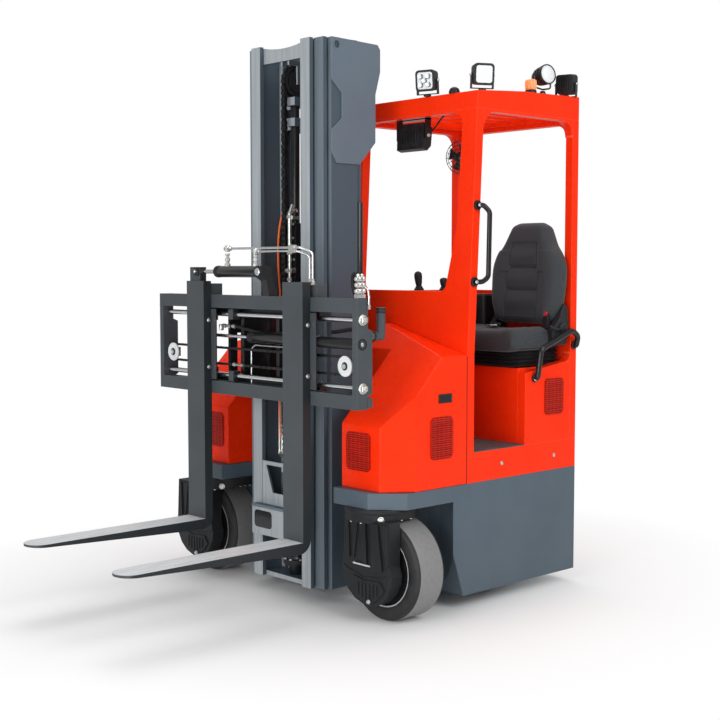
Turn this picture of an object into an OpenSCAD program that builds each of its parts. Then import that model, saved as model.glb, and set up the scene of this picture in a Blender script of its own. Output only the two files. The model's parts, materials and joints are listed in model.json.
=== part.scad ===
// Stand-on-the-spot turning fork truck with a three-stage mast, a fork positioner
// and three steered wheel units. Millimetres, +Z up, forks towards -Y, cab entry on +X.
// The origin is on the ground, at the middle of the whole machine's width and length.

/* [Whole machine] */
// Width of the body over its side skirts
body_w = 1450; // [1300:10:1600]
// Length of the body from the front band to the rear skirt
body_len = 1208; // [1150:2:1400]
// Distance from the fork shank's front face to the front band
reach = 178.5; // [176:0.5:240]
// Length of the fork blades in front of the shanks
fork_len = 855; // [600:0.5:1300]
// Height of the mast with its stages down
mast_h = 2440; // [2300:10:2800]
// Height of the overhead guard over its front beam
guard_h = 2210; // [2150:5:2400]

/* [Chassis] */
// Ground clearance of the side skirts
skirt_clear = 60; // [40:5:90]
// Height of the underside of the front band
band_z = 475; // [455:1:490]
// Height of the top of the grey chassis
deck_z = 543; // [530:1:570]
// Width of the open well for the mast
well_w = 790; // [640:2:800]
// Sideways cut of the front corners of the band
corner_x = 119; // [80:1:150]
// Lengthwise cut of the front corners of the band
corner_y = 112; // [80:1:150]
// Distance from the front band to the foot of the skirt's slanted edge
skirt_foot = 449; // [430:1:520]
// Distance from the front band to the head of the skirt's slanted edge
skirt_head = 325; // [310:1:345]
// Height of the head of the slanted edge
slant_top = 430; // [400:5:440]
// Step of the skirt's edge under the band
notch = 44; // [20:2:60]

/* [Wheel units] */
// Radius of the wheels
wheel_r = 213; // [200:1:220]
// Width of the front tyres
wheel_w = 162; // [120:2:180]
// Thickness of the polyurethane tread
tread_t = 34; // [20:1:45]
// Distance of each kingpin from the middle plane
king_x = 545; // [540:1:560]
// Distance of the front kingpins behind the front band
king_back = 135.5; // [130:0.5:150]
// Offset of the wheel from its kingpin along its rolling direction
trail = 65; // [0:1:70]
// Offset of the wheel from its kingpin along its axle
inset = 23; // [0:1:30]
// Radius of the turntable ring
ring_r = 154; // [130:1:158]
// Height of the turntable ring over the wheel
ring_h = 42; // [30:1:42]
// Height of the turntable ring over the gearbox leg
ring_front_h = 55; // [50:1:70]
// Radius of the kingpin
pin_r = 60; // [40:1:70]
// Radius of the axle stubs
axle_r = 30; // [20:1:40]
// Width of the gearbox leg
leg_w = 298; // [280:1:302]
// Thickness of the gearbox leg
leg_t = 62; // [50:1:70]
// Distance of the rear kingpin in front of the rear skirt
king_rear = 330; // [310:5:380]

/* [Pods and hood] */
// Width of each front pod
pod_w = 325; // [300:5:330]
// Distance from the front band to the pods' front face
pod_back = 41; // [30:1:60]
// Sideways cut of the pods' front corners
pod_cut_x = 90; // [60:1:110]
// Lengthwise cut of the pods' front corners
pod_cut_y = 124; // [90:1:140]
// Height of the pods' front face at its top
pod_front_z = 812; // [780:1:850]
// Height of the pods' outer ridge
ridge_z = 1094; // [1060:1:1130]
// Rise of the big slope for each millimetre rearward
slope = 1.033; // [0.9:0.001:1.1]
// Rise of the pods' top facet for each millimetre inward
top_rise = 0.264; // [0.2:0.001:0.3]
// Half width of the passage between the pods behind the mast
pod_inner = 260; // [240:5:300]

/* [Cab] */
// Distance from the front band to the cab's front wall
cab_front = 467; // [460:1:500]
// Backward lean of the front wall from the pods' ridge to the guard
cab_lean = 55; // [40:1:80]
// Width of the cab
cab_w = 737; // [700:1:830]
// Thickness of the cab's walls and pillars
wall_t = 44; // [40:1:56]
// Height of the cab floor
floor_z = 678; // [660:1:720]
// Height of the front window's sill
sill_z = 1363; // [1300:1:1400]
// Length of the entry opening at the floor
entry_len = 335; // [300:5:360]
// Height of the front corner of the seat-side panel
panel_z = 996; // [960:1:1030]
// Depth of the guard's front beam
beam_h = 74; // [60:1:90]
// Width of the front pillars at the sill
pillar_sill = 150; // [120:1:180]
// Width of the front pillars at the top
pillar_top = 84; // [70:1:120]
// Width of the rear pillars seen from behind
pillar_rear = 40; // [36:1:70]
// Rise of the guard's roof from its front to its rear
roof_rise = 30; // [0:1:40]
// Radius of the corners of the cab's openings
cab_r = 48; // [30:1:70]

/* [Mast] */
// Distance from the front band to the inner stage's front face
mast_back = 38.5; // [36:0.5:60]
// Depth of each mast rail
rail_d = 150; // [140:1:160]
// Width of each mast rail's flanges
rail_w = 62; // [54:1:64]
// Thickness of the rails' flanges
flange_t = 20; // [16:1:20]
// Thickness of the rails' webs
web_t = 16; // [10:1:18]
// Distance of the inner rails' inner edges from the middle plane
rail_x = 139; // [130:1:150]
// Sideways step from one stage to the next
stage_x = 52; // [50:0.5:52]
// Lengthwise step from one stage to the next
stage_y = 32; // [30:1:36]
// Height of the mast's feet above the ground
mast_foot = 62; // [50:1:90]
// Width of the outer rails' flanges
outer_w = 32; // [30:1:36]
// Thickness of the outer rails' webs
outer_web = 13; // [10:0.5:14]
// Radius of the side lift rods
rod_r = 18; // [14:1:20]
// Travel of each lifting stage
lift = 1400; // [1000:10:1500]
// Radius of the chain sheave
sheave_r = 63; // [50:1:70]

/* [Carriage] */
// Half width of the positioner frame
frame_x = 692; // [660:1:700]
// Depth of the frame's bars
bar_d = 57; // [50:1:60]
// Height of the bottom of the lower bar
frame_z = 901; // [880:1:920]
// Height of the positioner frame
frame_h = 442; // [420:1:460]
// Height of the frame's bars
bar_h = 57; // [50:1:62]
// Thickness of the frame's end plates
end_t = 28; // [20:1:32]
// Radius of the guide rods
guide_r = 11; // [8:0.5:13]
// Distance of the guide rods from the frame's bars
guide_in = 28; // [24:1:32]
// Radius of the positioner cylinder in the frame
mid_cyl_r = 23; // [18:0.5:25]
// Radius of the cylinder above the frame
top_cyl_r = 25; // [20:0.5:27]

/* [Forks] */
// Width of each fork
fork_w = 130; // [100:1:140]
// Thickness of the shanks
fork_t = 42; // [36:0.5:42]
// Thickness of the blades at the heel
heel_t = 47; // [40:0.5:50]
// Thickness of the blades at the tip
tip_t = 10; // [8:0.5:14]
// Height of the blades' upper faces
blade_z = 332; // [310:1:380]
// Height of the shanks' tops
shank_z = 1405; // [1390:1:1440]
// Distance of each fork's middle from the middle plane
fork_x = 344; // [330:1:380]

/* [Fits] */
// Radial clearance of pins and shafts that turn
turn_gap = 0.05; // [0.02:0.01:0.1]
// Gap between faces of different bodies that nearly touch
seat_gap = 0.3; // [0.2:0.05:0.6]

/* [Hidden] */
$fn = 64;
hull_fn = 32;

red = "orangered";
dark_red = "darkred";
grey = "slategray";
dark = "dimgray";
black = "#2a2c2e";
steel = "silver";

half_w = body_w / 2;
total_len = body_len + reach + fork_len;
y_rear = total_len / 2;
y_band = y_rear - body_len;
y_shank = y_band - reach;
y_tip = y_shank - fork_len;
y_pod = y_band + pod_back;
y_cab = y_band + cab_front;
y_mast = y_band + mast_back;
y_king = y_band + king_back;
y_king_rear = y_rear - king_rear;
y_frame = y_shank + fork_t + seat_gap;
y_rods = y_frame + bar_d / 2;
y_base = y_frame + bar_d + seat_gap;
x_cab = half_w - cab_w;
frame_top = frame_z + frame_h;
z_roof = guard_h - beam_h;
plate_t = 4;
y_seat = y_cab + wall_t + entry_len;

// Front face of the front wall at a height: upright to the ridge, then leaning
function lean_y(z) = y_cab + cab_lean * max(0, z - ridge_z) / (guard_h - ridge_z);

// A flat plate in the YZ plane, from x0 to x1, whose outline is drawn in Y and Z
module yz_plate(x0, x1) {
    translate([x0, 0, 0])
        rotate([90, 0, 90])
            linear_extrude(x1 - x0)
                children();
}

// A flat plate in the XZ plane, from y0 to y1, whose outline is drawn in X and Z
module xz_plate(y0, y1) {
    translate([0, y1, 0])
        rotate([90, 0, 0])
            linear_extrude(y1 - y0)
                children();
}

// A box between two corners
module span(a, b) {
    translate(a) cube(b - a);
}

// A round bar along X, from x0 to x1
module bar_x(x0, x1, y, z, r) {
    translate([x0, y, z]) rotate([0, 90, 0]) cylinder(r = r, h = x1 - x0);
}

// A round bar along Y, from y0 to y1
module bar_y(x, y0, y1, z, r) {
    translate([x, y1, z]) rotate([90, 0, 0]) cylinder(r = r, h = y1 - y0);
}

// A rectangle between two corners, with round corners
module soft_rect(a, b, r) {
    translate([a.x + r, a.y]) square([b.x - a.x - 2 * r, b.y - a.y]);
    translate([a.x, a.y + r]) square([b.x - a.x, b.y - a.y - 2 * r]);
    for (x = [a.x + r, b.x - r], y = [a.y + r, b.y - r])
        translate([x, y]) circle(r = r);
}

// The filled inside of a corner at p whose arms run towards sx and sy
module corner_fill(p, r, sx, sy) {
    translate(p)
        difference() {
            translate([min(0, sx * r), min(0, sy * r)]) square(r);
            translate([sx * r, sy * r]) circle(r = r);
        }
}

// A round tube through a list of points
module tube(points, r) {
    for (i = [0 : len(points) - 2]) {
        d = points[i + 1] - points[i];
        translate(points[i])
            rotate([0, acos(d.z / norm(d)), atan2(d.y, d.x)])
                cylinder(r = r, h = norm(d));
        if (i > 0)
            translate(points[i]) sphere(r = r + 0.3);
    }
}

// What is drawn, and its mirror image on the other side of the machine
module both_sides() {
    children();
    mirror([1, 0, 0]) children();
}

// Chassis

// Room round each kingpin for its wheel to turn in
well_front_r = 308;
well_rear_r = 262;
// Length of the well for the mast
well_len = 330;

// Plan outline of the grey band
module band_plan() {
    polygon([
        [half_w, y_rear], [half_w, y_band + corner_y], [half_w - corner_x, y_band],
        [corner_x - half_w, y_band], [-half_w, y_band + corner_y], [-half_w, y_rear]]);
}

// Side outline of the skirts, Y then Z
module skirt_side() {
    polygon([
        [y_band + skirt_foot, skirt_clear], [y_band + skirt_head, slant_top],
        [y_band + skirt_head - notch, band_z - 5], [y_band + skirt_head - notch, deck_z],
        [y_rear, deck_z], [y_rear, skirt_clear]]);
}

// The well and the bearing bore of one wheel unit
module king_cut(x, y, r) {
    translate([x, y, 0]) cylinder(r = r, h = band_z);
    translate([x, y, 0]) cylinder(r = pin_r + turn_gap, h = deck_z + 1);
}

module chassis_frame() {
    color(grey)
        difference() {
            union() {
                translate([0, 0, band_z]) linear_extrude(deck_z - band_z) band_plan();
                yz_plate(-half_w, half_w) skirt_side();
            }
            king_cut(king_x, y_king, well_front_r);
            king_cut(-king_x, y_king, well_front_r);
            king_cut(0, y_king_rear, well_rear_r);
            span([-well_w / 2, y_band - 1, 0], [well_w / 2, y_band + well_len, deck_z + 1]);
        }
}

// Front pods and battery hood

// Outline, X then Z, of what lies under the facet that rises to the middle
module under_top_facet(x0, x1) {
    polygon([
        [x0, deck_z], [x1, deck_z],
        [x1, ridge_z + top_rise * (half_w - x1)], [x0, ridge_z + top_rise * (half_w - x0)]]);
}

// Plan outline of the right pod
module pod_plan() {
    polygon([
        [half_w - pod_w, y_pod], [half_w - pod_cut_x, y_pod], [half_w, y_pod + pod_cut_y],
        [half_w, y_cab], [pod_inner, y_cab], [pod_inner, y_band + well_len],
        [half_w - pod_w, y_band + well_len]]);
}

module pod() {
    y_past = y_cab + 1;
    color(red)
        intersection() {
            translate([0, 0, deck_z]) linear_extrude(body_w) pod_plan();
            yz_plate(0, half_w)
                polygon([
                    [y_pod, deck_z], [y_pod, pod_front_z],
                    [y_past, pod_front_z + slope * (y_past - y_pod)], [y_past, deck_z]]);
            xz_plate(y_pod, y_past) under_top_facet(0, half_w);
        }
}

module pod_right() { pod(); }
module pod_left() { mirror([1, 0, 0]) pod(); }

grille_t = 6;
grille_rib = 7;

// A flat grille with round corners and level ribs, outline w wide and h high
module grille(w, h) {
    border = 10;
    count = floor((h - 2 * border) / (2 * grille_rib));
    difference() {
        linear_extrude(grille_t) soft_rect([0, 0], [w, h], 22);
        for (i = [0 : count - 1])
            translate([border, border + 2 * i * grille_rib, grille_t - 2])
                cube([w - 2 * border, grille_rib, 3]);
    }
}

// Side grilles: distance behind the band, height of the foot, width, height
pod_grille = [243, 668, 133, 175];
rear_grille = [981, 798, 129, 164];
// Front grille: distance inside the skirt, height of the foot, width, height
front_grille = [290, 622, 145, 160];

// A grille on the right side, placed by a row of the values above
module side_grille(g) {
    translate([half_w, y_band + g[0], g[1]]) rotate([90, 0, 90]) grille(g[2], g[3]);
}

module grilles() {
    color(dark_red) {
        both_sides() {
            translate([half_w - front_grille[0], y_pod, front_grille[1]])
                rotate([90, 0, 0])
                    grille(front_grille[2], front_grille[3]);
            side_grille(pod_grille);
        }
        side_grille(rear_grille);
    }
}

module hatch_handles() {
    w = 78;
    h = 38;
    rim = 5;
    color(black)
        both_sides()
            translate([half_w, y_band + 292, 901])
                rotate([90, 0, 90])
                    difference() {
                        cube([w, h, rim]);
                        translate([rim, rim, 2]) cube([w - 2 * rim, h - 2 * rim, rim]);
                    }
}

hood_t = 8;

module battery_hood() {
    color(red)
        difference() {
            xz_plate(y_cab, y_rear)
                mirror([1, 0]) under_top_facet(-x_cab, half_w);
            xz_plate(y_cab + hood_t, y_rear - hood_t)
                mirror([1, 0])
                    translate([0, -hood_t])
                        under_top_facet(hood_t - x_cab, half_w - hood_t);
        }
}

module battery_block() {
    air = 20;
    color(dark)
        span([-half_w + hood_t + air, y_cab + hood_t + air, deck_z],
            [x_cab - hood_t - air, y_rear - hood_t - air, ridge_z - 60]);
}

// Cab

module lower_body() {
    color(red)
        span([x_cab, y_cab, deck_z], [half_w, y_rear, floor_z - plate_t]);
}

module cab_floor() {
    color(dark)
        span([x_cab + wall_t, y_cab + wall_t, floor_z - plate_t], [half_w, y_seat, floor_z]);
}

seat_base_z = 1015;

module seat_base() {
    color(red)
        span([x_cab + wall_t, y_seat, floor_z - plate_t],
            [half_w - wall_t, y_rear - wall_t, seat_base_z]);
}

// Window of the front wall: centre and radius of each corner, X then Z
function front_window() = [
    [x_cab + 75, sill_z + 35, 35], [half_w - pillar_sill - 27, sill_z + 35, 35],
    [half_w - pillar_top - 38, sill_z + 277, 30],
    [half_w - pillar_top - 59, z_roof - 70, 60], [x_cab + 100, z_roof - 70, 60]];

module cab_front_wall() {
    z0 = floor_z - plate_t;
    color(red)
        difference() {
            yz_plate(x_cab, half_w)
                polygon([
                    [y_cab, z0], [y_cab, ridge_z], [lean_y(z_roof), z_roof],
                    [lean_y(z_roof) + wall_t, z_roof], [y_cab + wall_t, ridge_z],
                    [y_cab + wall_t, z0]]);
            xz_plate(y_cab - 1, y_cab + cab_lean + wall_t + 1)
                hull()
                    for (c = front_window())
                        translate([c[0], c[1]]) circle(r = c[2], $fn = hull_fn);
        }
}

module cab_rear_wall() {
    color(red)
        xz_plate(y_rear - wall_t, y_rear)
            difference() {
                translate([x_cab, floor_z - plate_t])
                    square([cab_w, z_roof - floor_z + plate_t]);
                soft_rect([x_cab + pillar_rear, sill_z - 8],
                    [half_w - pillar_rear, z_roof - 20], cab_r + 12);
            }
}

module cab_left_wall() {
    z0 = floor_z - plate_t;
    color(red)
        yz_plate(x_cab, x_cab + wall_t)
            difference() {
                polygon([
                    [y_cab + wall_t, z0], [y_cab + wall_t, ridge_z],
                    [lean_y(z_roof) + wall_t, z_roof], [y_rear - wall_t, z_roof],
                    [y_rear - wall_t, z0]]);
                soft_rect([y_cab - 100, sill_z - 8],
                    [y_rear - wall_t - 20, z_roof - 20], cab_r + 12);
            }
}

// The panel beside the seat, and the round corners over the entry
module cab_right_side() {
    z0 = floor_z - plate_t;
    y1 = y_rear - wall_t;
    y2 = lean_y(z_roof) + wall_t;
    strip = 10;
    color(red)
        yz_plate(half_w - wall_t, half_w) {
            polygon([
                [y_seat, z0], [y_seat, panel_z], [y_seat + (y1 - y_seat) * 5 / 6, panel_z + 37],
                [y1, panel_z + 37], [y1, z0]]);
            corner_fill([y1, panel_z + 36], 45, -1, 1);
            translate([y2, z_roof - strip]) square([y1 - y2, strip]);
            corner_fill([y1, z_roof - strip], 70, -1, -1);
            corner_fill([y2, z_roof - strip], 70, 1, -1);
        }
}

beam_w = 60;
roof_bar_w = 24;
roof_bar_h = 30;
roof_bars = 5;

module roof_frame() {
    y0 = lean_y(z_roof);
    x0 = x_cab + beam_w;
    x1 = half_w - beam_w;
    pitch = (x1 - x0) / (roof_bars + 1);
    color(red)
        intersection() {
            difference() {
                span([x_cab, y0, z_roof], [half_w, y_rear, guard_h + roof_rise]);
                difference() {
                    span([x0, y0 + beam_w, z_roof - 1],
                        [x1, y_rear - beam_w, guard_h + roof_rise + 1]);
                    for (i = [1 : roof_bars])
                        span([x0 + i * pitch - roof_bar_w / 2, y0, z_roof + 20],
                            [x0 + i * pitch + roof_bar_w / 2, y_rear,
                                z_roof + 20 + roof_bar_h]);
                }
            }
            yz_plate(x_cab, half_w)
                polygon([
                    [y0, z_roof], [lean_y(guard_h), guard_h],
                    [y0 + 300, guard_h + roof_rise * 0.7], [y_rear, guard_h + roof_rise],
                    [y_rear, z_roof]]);
        }
}

rail_r = 13;

handle_feet = [1404, 1728];

module entry_handle() {
    x = half_w + 6;
    z0 = handle_feet[0];
    z1 = handle_feet[1];
    y0 = lean_y(z0) + wall_t / 2;
    y1 = lean_y(z1) + wall_t / 2;
    color(black) {
        for (z = handle_feet)
            bar_x(half_w, x, lean_y(z) + wall_t / 2, z, 20);
        tube([
            [x - 1, y0, z0], [x + 22, y0 + 8, z0], [x + 36, y0 + 44, z0 + 28],
            [x + 36, y1 + 34, z1 - 28], [x + 22, y1 + 8, z1], [x - 1, y1, z1]], rail_r);
    }
}

module side_rail() {
    x = half_w + 6;
    y = y_seat + 62;
    y1 = y_rear - wall_t / 2;
    color(black) {
        bar_x(half_w, x, y, 971, 18);
        bar_x(half_w, x, y1, 1107, 18);
        tube([
            [x - 1, y, 971], [x + 16, y, 974], [x + 24, y + 10, 1090],
            [x + 28, y1 - 52, 1179], [x + 24, y1 - 8, 1150], [x + 16, y1, 1110],
            [x - 1, y1, 1107]], rail_r);
    }
}

// Seat

seat_x = half_w - 253;
seat_front = y_seat - 42;
seat_w = 470;
bellows_top = 1105;
cushion_h = 86;

module seat_suspension() {
    w = seat_w - 20;
    color(black)
        span([seat_x - w / 2, seat_front + 20, seat_base_z],
            [half_w - wall_t - 1, y_rear - wall_t - 12, bellows_top]);
}

module seat_cushion() {
    r = 30;
    w = seat_w / 2 - r;
    color(black)
        hull()
            for (x = [seat_x - w, seat_x + w], y = [seat_front + r, y_rear - 150])
                translate([x, y, bellows_top])
                    cylinder(r = r, h = cushion_h, $fn = hull_fn);
}

// Corners of the backrest: half width, distance of the middle from the rear wall, height
back_sections = [[150, 89, bellows_top + cushion_h], [197, 72, 1420], [86, 66, 1635]];

module seat_back() {
    r = 58;
    color(black)
        hull()
            for (s = back_sections, side = [-1, 1])
                translate([seat_x + 54 + side * (s[0] - r), y_rear - wall_t - s[1], s[2]])
                    cylinder(r = r, h = 36, $fn = hull_fn);
}

knob_r = 20;
// Control levers: X and Y of each knob, and height of its top
levers = [[133, y_seat - 75, 1440], [204, y_seat - 25, 1420]];
arm_len = (y_rear - y_seat) * 0.635;

module control_console() {
    top = 1350;
    color(black) {
        span([seat_x - 400, y_seat - 150, floor_z], [seat_x - 242, y_seat, top]);
        span([seat_x - 330, y_seat, seat_base_z + 180],
            [seat_x - 242, y_seat + arm_len, top]);
        for (l = levers) {
            translate([l.x, l.y, top]) cylinder(r = 8, h = l.z - top - 30);
            translate([l.x, l.y, l.z - 2 * knob_r]) cylinder(r = knob_r, h = 2 * knob_r);
        }
    }
}

roof_len = y_rear - y_cab;
// Lamps on the guard: X, share of the roof's length, size along X, size along Y,
// height of the foot over the roof, height
square_lamps = [
    [427, 0.059, 100, 52, 22, 92],
    [684, 0.172, 50, 100, 19, 96],
    [684, 0.944, 100, 50, 17, 88]];
// Y of the middle of the round spotlight and of the beacon
spot_y = y_cab + 0.74 * roof_len;
beacon_y = y_cab + 0.584 * roof_len;

// Height of the guard's roof at a distance from the front
function roof_z(y) = lookup(y, [
    [lean_y(guard_h), guard_h], [lean_y(z_roof) + 300, guard_h + roof_rise * 0.7],
    [y_rear, guard_h + roof_rise]]);

// What lies under the guard's roof, so that what stands on it is cut to its slope
module under_roof() {
    yz_plate(0, half_w + 1)
        polygon([
            [y_cab, 0], [y_cab, guard_h], [lean_y(guard_h), guard_h],
            [lean_y(z_roof) + 300, guard_h + roof_rise * 0.7], [y_rear, guard_h + roof_rise],
            [y_rear, 0]]);
}

module lamp_foot(x, y, top) {
    difference() {
        span([x - 15, y - 12, roof_z(y) - 8], [x + 15, y + 12, top]);
        under_roof();
    }
}

module lamps() {
    color(black) {
        for (l = square_lamps) {
            y = y_cab + l[1] * roof_len;
            z = roof_z(y) + l[4];
            translate([l[0] - l[2] / 2, y - l[3] / 2, z]) cube([l[2], l[3], l[5]]);
            lamp_foot(l[0], max(y, lean_y(guard_h) + 18), z + 2);
        }
        bar_y(684, spot_y - 55, spot_y + 55, roof_z(spot_y) + 82, 33);
        lamp_foot(684, spot_y, roof_z(spot_y) + 54);
    }
}

module beacon() {
    color("orange")
        difference() {
            translate([half_w - 30, beacon_y, roof_z(beacon_y) - 4]) cylinder(r = 27, h = 66);
            under_roof();
        }
}

module ceiling_unit() {
    y0 = lean_y(z_roof) + wall_t + 6;
    color(black) {
        span([160, y0, z_roof - 148], [350, y0 + 70, z_roof - 12]);
        span([225, y0 - 2, z_roof - 14], [285, y0 + 8, z_roof]);
    }
}

// Mast

// Section of a rail w wide, with a web t thick at web_x
module rail_section(w, web_x, t) {
    square([w, flange_t]);
    translate([0, rail_d - flange_t]) square([w, flange_t]);
    translate([web_x, 0]) square([t, rail_d]);
}

// Both rails of the inner stage, 0, or of the middle one, 1
module stage_rails(stage) {
    both_sides()
        translate([rail_x + stage * stage_x, y_mast + stage * stage_y, mast_foot])
            linear_extrude(mast_h - mast_foot)
                rail_section(rail_w, web_mid, web_t);
}

web_mid = (rail_w - web_t) / 2;
x_outer = rail_x + stage_x + rail_w + outer_web + 2;
y_back = y_mast + 2 * stage_y + rail_d;
barrel_r = rod_r + 9;
barrel_x = x_outer - 33;
barrel_y = y_back + barrel_r;
tie_h = 40;

module outer_mast() {
    color(grey)
        difference() {
            union() {
                both_sides()
                    translate([x_outer - outer_w, y_mast + 2 * stage_y, mast_foot])
                        linear_extrude(mast_h - mast_foot)
                            rail_section(outer_w, outer_w - outer_web, outer_web);
                for (z = [mast_foot + 58, 1000, mast_h - 360])
                    span([-x_outer, y_back, z], [x_outer, y_back + 46, z + tie_h]);
                both_sides()
                    span([x_outer - 1, y_back - 60, band_z], [well_w / 2, y_back, deck_z]);
            }
            both_sides()
                translate([barrel_x, barrel_y, 0])
                    cylinder(r = barrel_r, h = mast_h);
        }
}

// Outline of a side plate: distance behind the outer rail's front face, then drop from its top
side_plate = [
    [-7, 0], [-7, 174], [54, 232], [54, 338], [-7, 392], [-7, 478],
    [26, 530], [158, 530], [251, 430], [251, 222], [279, 122], [279, 26],
    [264, 6], [30, 0]];

module mast_side_plates() {
    y0 = y_mast + 2 * stage_y;
    color(grey)
        both_sides()
            difference() {
                yz_plate(x_outer, x_outer + 8)
                    polygon([for (p = side_plate) [y0 + p[0], mast_h - p[1]]]);
                bar_x(x_outer - 1, x_outer + 9, y0 + 24, mast_h - 30, 16);
            }
}

module lift_barrels() {
    h = lift + 250;
    z0 = 100;
    color(dark)
        both_sides()
            translate([barrel_x, barrel_y, z0])
                difference() {
                    cylinder(r = barrel_r, h = h);
                    translate([0, 0, 30]) cylinder(r = rod_r + seat_gap, h = h);
                }
}

module mid_mast() {
    z1 = mast_h - 60;
    y1 = y_mast + stage_y + rail_d;
    x_tie = x_outer - outer_w - 5;
    color(grey) {
        stage_rails(1);
        for (z = [mast_foot + 38, z1])
            span([-x_tie, y1, z], [x_tie, y1 + 16, z + tie_h]);
        both_sides() {
            span([x_tie - 30, y1 + 15, z1], [x_tie, y_back + 6, z1 + tie_h]);
            span([x_tie - 30, y_back + 5, z1], [barrel_x + rod_r, barrel_y + rod_r, z1 + tie_h]);
            for (z = slide_feet)
                span([x_outer - outer_w + 4, y1 - 1, z],
                    [rail_x + stage_x + rail_w - 3, y_back - flange_t - seat_gap, z + 160]);
        }
    }
    color(steel)
        both_sides()
            translate([barrel_x, barrel_y, 140]) cylinder(r = rod_r, h = z1 - 139);
}

cyl_y = y_mast + 86;
cyl_r = 34;
ram_r = 20;
sheave_y = y_mast + 92;
sheave_z = mast_h - 158;
cyl_top = mast_h - 1038;
chain_w = 24;
chain_t = 12;
// Feet of the slide pads between the stages
slide_feet = [mast_foot + 44, mast_foot + 240];
foot_top = 593;
foot_low = 397;

module inner_mast() {
    y1 = y_mast + rail_d;
    color(grey) {
        stage_rails(0);
        both_sides()
            for (z = slide_feet)
                span([rail_x + stage_x + 1, y1 - 1, z],
                    [rail_x + rail_w - 1, y_mast + stage_y + rail_d - flange_t - seat_gap, z + 160]);
        for (z = [mast_h - 355, mast_h - 265])
            difference() {
                union() {
                    span([-rail_x - 41, y1, z], [rail_x + 41, y1 + 14, z + 36]);
                    span([-34, cyl_y - ram_r - 10, z], [34, y1 + 1, z + 36]);
                }
                translate([0, cyl_y, z - 1]) cylinder(r = ram_r, h = 38);
            }
        span([-rail_x - web_mid, y_mast + 24, mast_foot], [rail_x + web_mid, y1 - 24, 82]);
        difference() {
            span([-rail_x - web_mid, y_mast + 24, mast_h - 75],
                [rail_x + web_mid, y_mast + 44, mast_h - 4]);
            bar_y(0, y_mast, y_mast + 60, mast_h + 640, 660);
        }
        both_sides() {
            span([chain_w / 2 + 6, y_mast + 30, mast_h - 94],
                [chain_w / 2 + 16, sheave_y + 14, mast_h - 72]);
            span([chain_w / 2 + 6, sheave_y - 14, sheave_z - 16],
                [chain_w / 2 + 16, sheave_y + 14, mast_h - 93]);
        }
        bar_x(-chain_w / 2 - 16, chain_w / 2 + 16, sheave_y, sheave_z, 12);
        foot_plate();
    }
}

// Cross plate and lamp-like box at the foot of the inner stage
module foot_plate() {
    xz_plate(y_mast + 2, y_mast + 12)
        difference() {
            translate([-rail_x - web_mid, foot_low - 1])
                square([2 * (rail_x + web_mid), foot_top - foot_low + 1]);
            polygon([[-112, 575], [112, 575], [66, 452], [-66, 452]]);
        }
    span([-14, y_mast + 11, foot_top - 40], [14, y_mast + 30, foot_top]);
    difference() {
        span([-rail_x - 30, y_mast - 35, foot_low - 135], [rail_x + 30, y_mast + 1, foot_low]);
        xz_plate(y_mast - 36, y_mast - 25)
            soft_rect([-146, 300], [-34, 366], 14);
    }
}

module centre_cylinder() {
    color(dark) {
        translate([0, cyl_y, 125]) cylinder(r = 47, h = 42);
        translate([0, cyl_y, 82]) cylinder(r = cyl_r, h = cyl_top - 82);
        span([-40, cyl_y - 40, cyl_top - 12], [46, cyl_y + 30, cyl_top + 258]);
    }
    color(steel)
        translate([0, cyl_y, cyl_top + 250]) cylinder(r = ram_r, h = mast_h - 225 - cyl_top - 250);
}

module lift_chain() {
    y1 = sheave_y - sheave_r + 2;
    color(dark)
        difference() {
            union() {
                bar_x(-chain_w / 2, chain_w / 2, sheave_y, sheave_z, sheave_r);
                span([-chain_w / 2, y1 - chain_t, foot_top + seat_gap],
                    [chain_w / 2, y1, sheave_z]);
            }
            bar_x(-chain_w, chain_w, sheave_y, sheave_z, 12 + seat_gap);
        }
}

// Carriage and fork positioner

module carriage_base() {
    x1 = rail_x - 5;
    color(black) {
        both_sides() {
            span([x1 - 20, y_base, frame_z + 20], [x1, y_mast + 100, frame_top - 20]);
            for (z = [frame_z + 90, frame_top - 90])
                bar_x(x1 - 1, rail_x + 20, y_mast + rail_d / 2, z,
                    rail_d / 2 - flange_t - seat_gap);
            yz_plate(215, 231)
                difference() {
                    polygon([
                        [y_base, frame_z + 20], [y_base, frame_top - 20],
                        [y_base + 70, frame_top - 60], [y_base + 110, frame_z + 200],
                        [y_base + 110, frame_z + 60], [y_base + 70, frame_z + 20]]);
                    translate([y_base + 40, frame_z + 70])
                        square([30, 200]);
                }
        }
        for (z = [frame_z + 20, frame_top - 80])
            span([-400, y_base, z], [400, y_base + 40, z + 60]);
    }
}

// Pipe stub behind the end plate
stub_r = 18;
stub_z = frame_z + 290;

module shift_frame() {
    color(dark) {
        for (z = [frame_z, frame_top - bar_h])
            span([-frame_x, y_frame, z], [frame_x, y_frame + bar_d, z + bar_h]);
        both_sides() {
            yz_plate(frame_x - end_t, frame_x)
                polygon([
                    [y_frame, frame_z], [y_frame, frame_top], [y_frame + bar_d, frame_top],
                    [y_frame + bar_d, frame_top - 120], [y_frame + 82, frame_top - 130],
                    [y_frame + 82, frame_z + 62], [y_frame + bar_d, frame_z + 50],
                    [y_frame + bar_d, frame_z]]);
            span([300, y_frame + bar_d - 40, frame_top - 1],
                [425, y_frame + bar_d + 20, frame_top + 50]);
            span([frame_x - end_t - 74, y_frame + 30, frame_z + 149],
                [frame_x - end_t + 1, y_frame + 46, frame_z + 191]);
        }
        bar_y(frame_x - 14, y_frame + 80, y_frame + 142, stub_z, stub_r);
        translate([frame_x - 14, y_frame + 142, stub_z]) sphere(r = stub_r + 0.3);
        translate([frame_x - 14, y_frame + 142, stub_z]) cylinder(r = stub_r, h = 114);
    }
}

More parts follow.
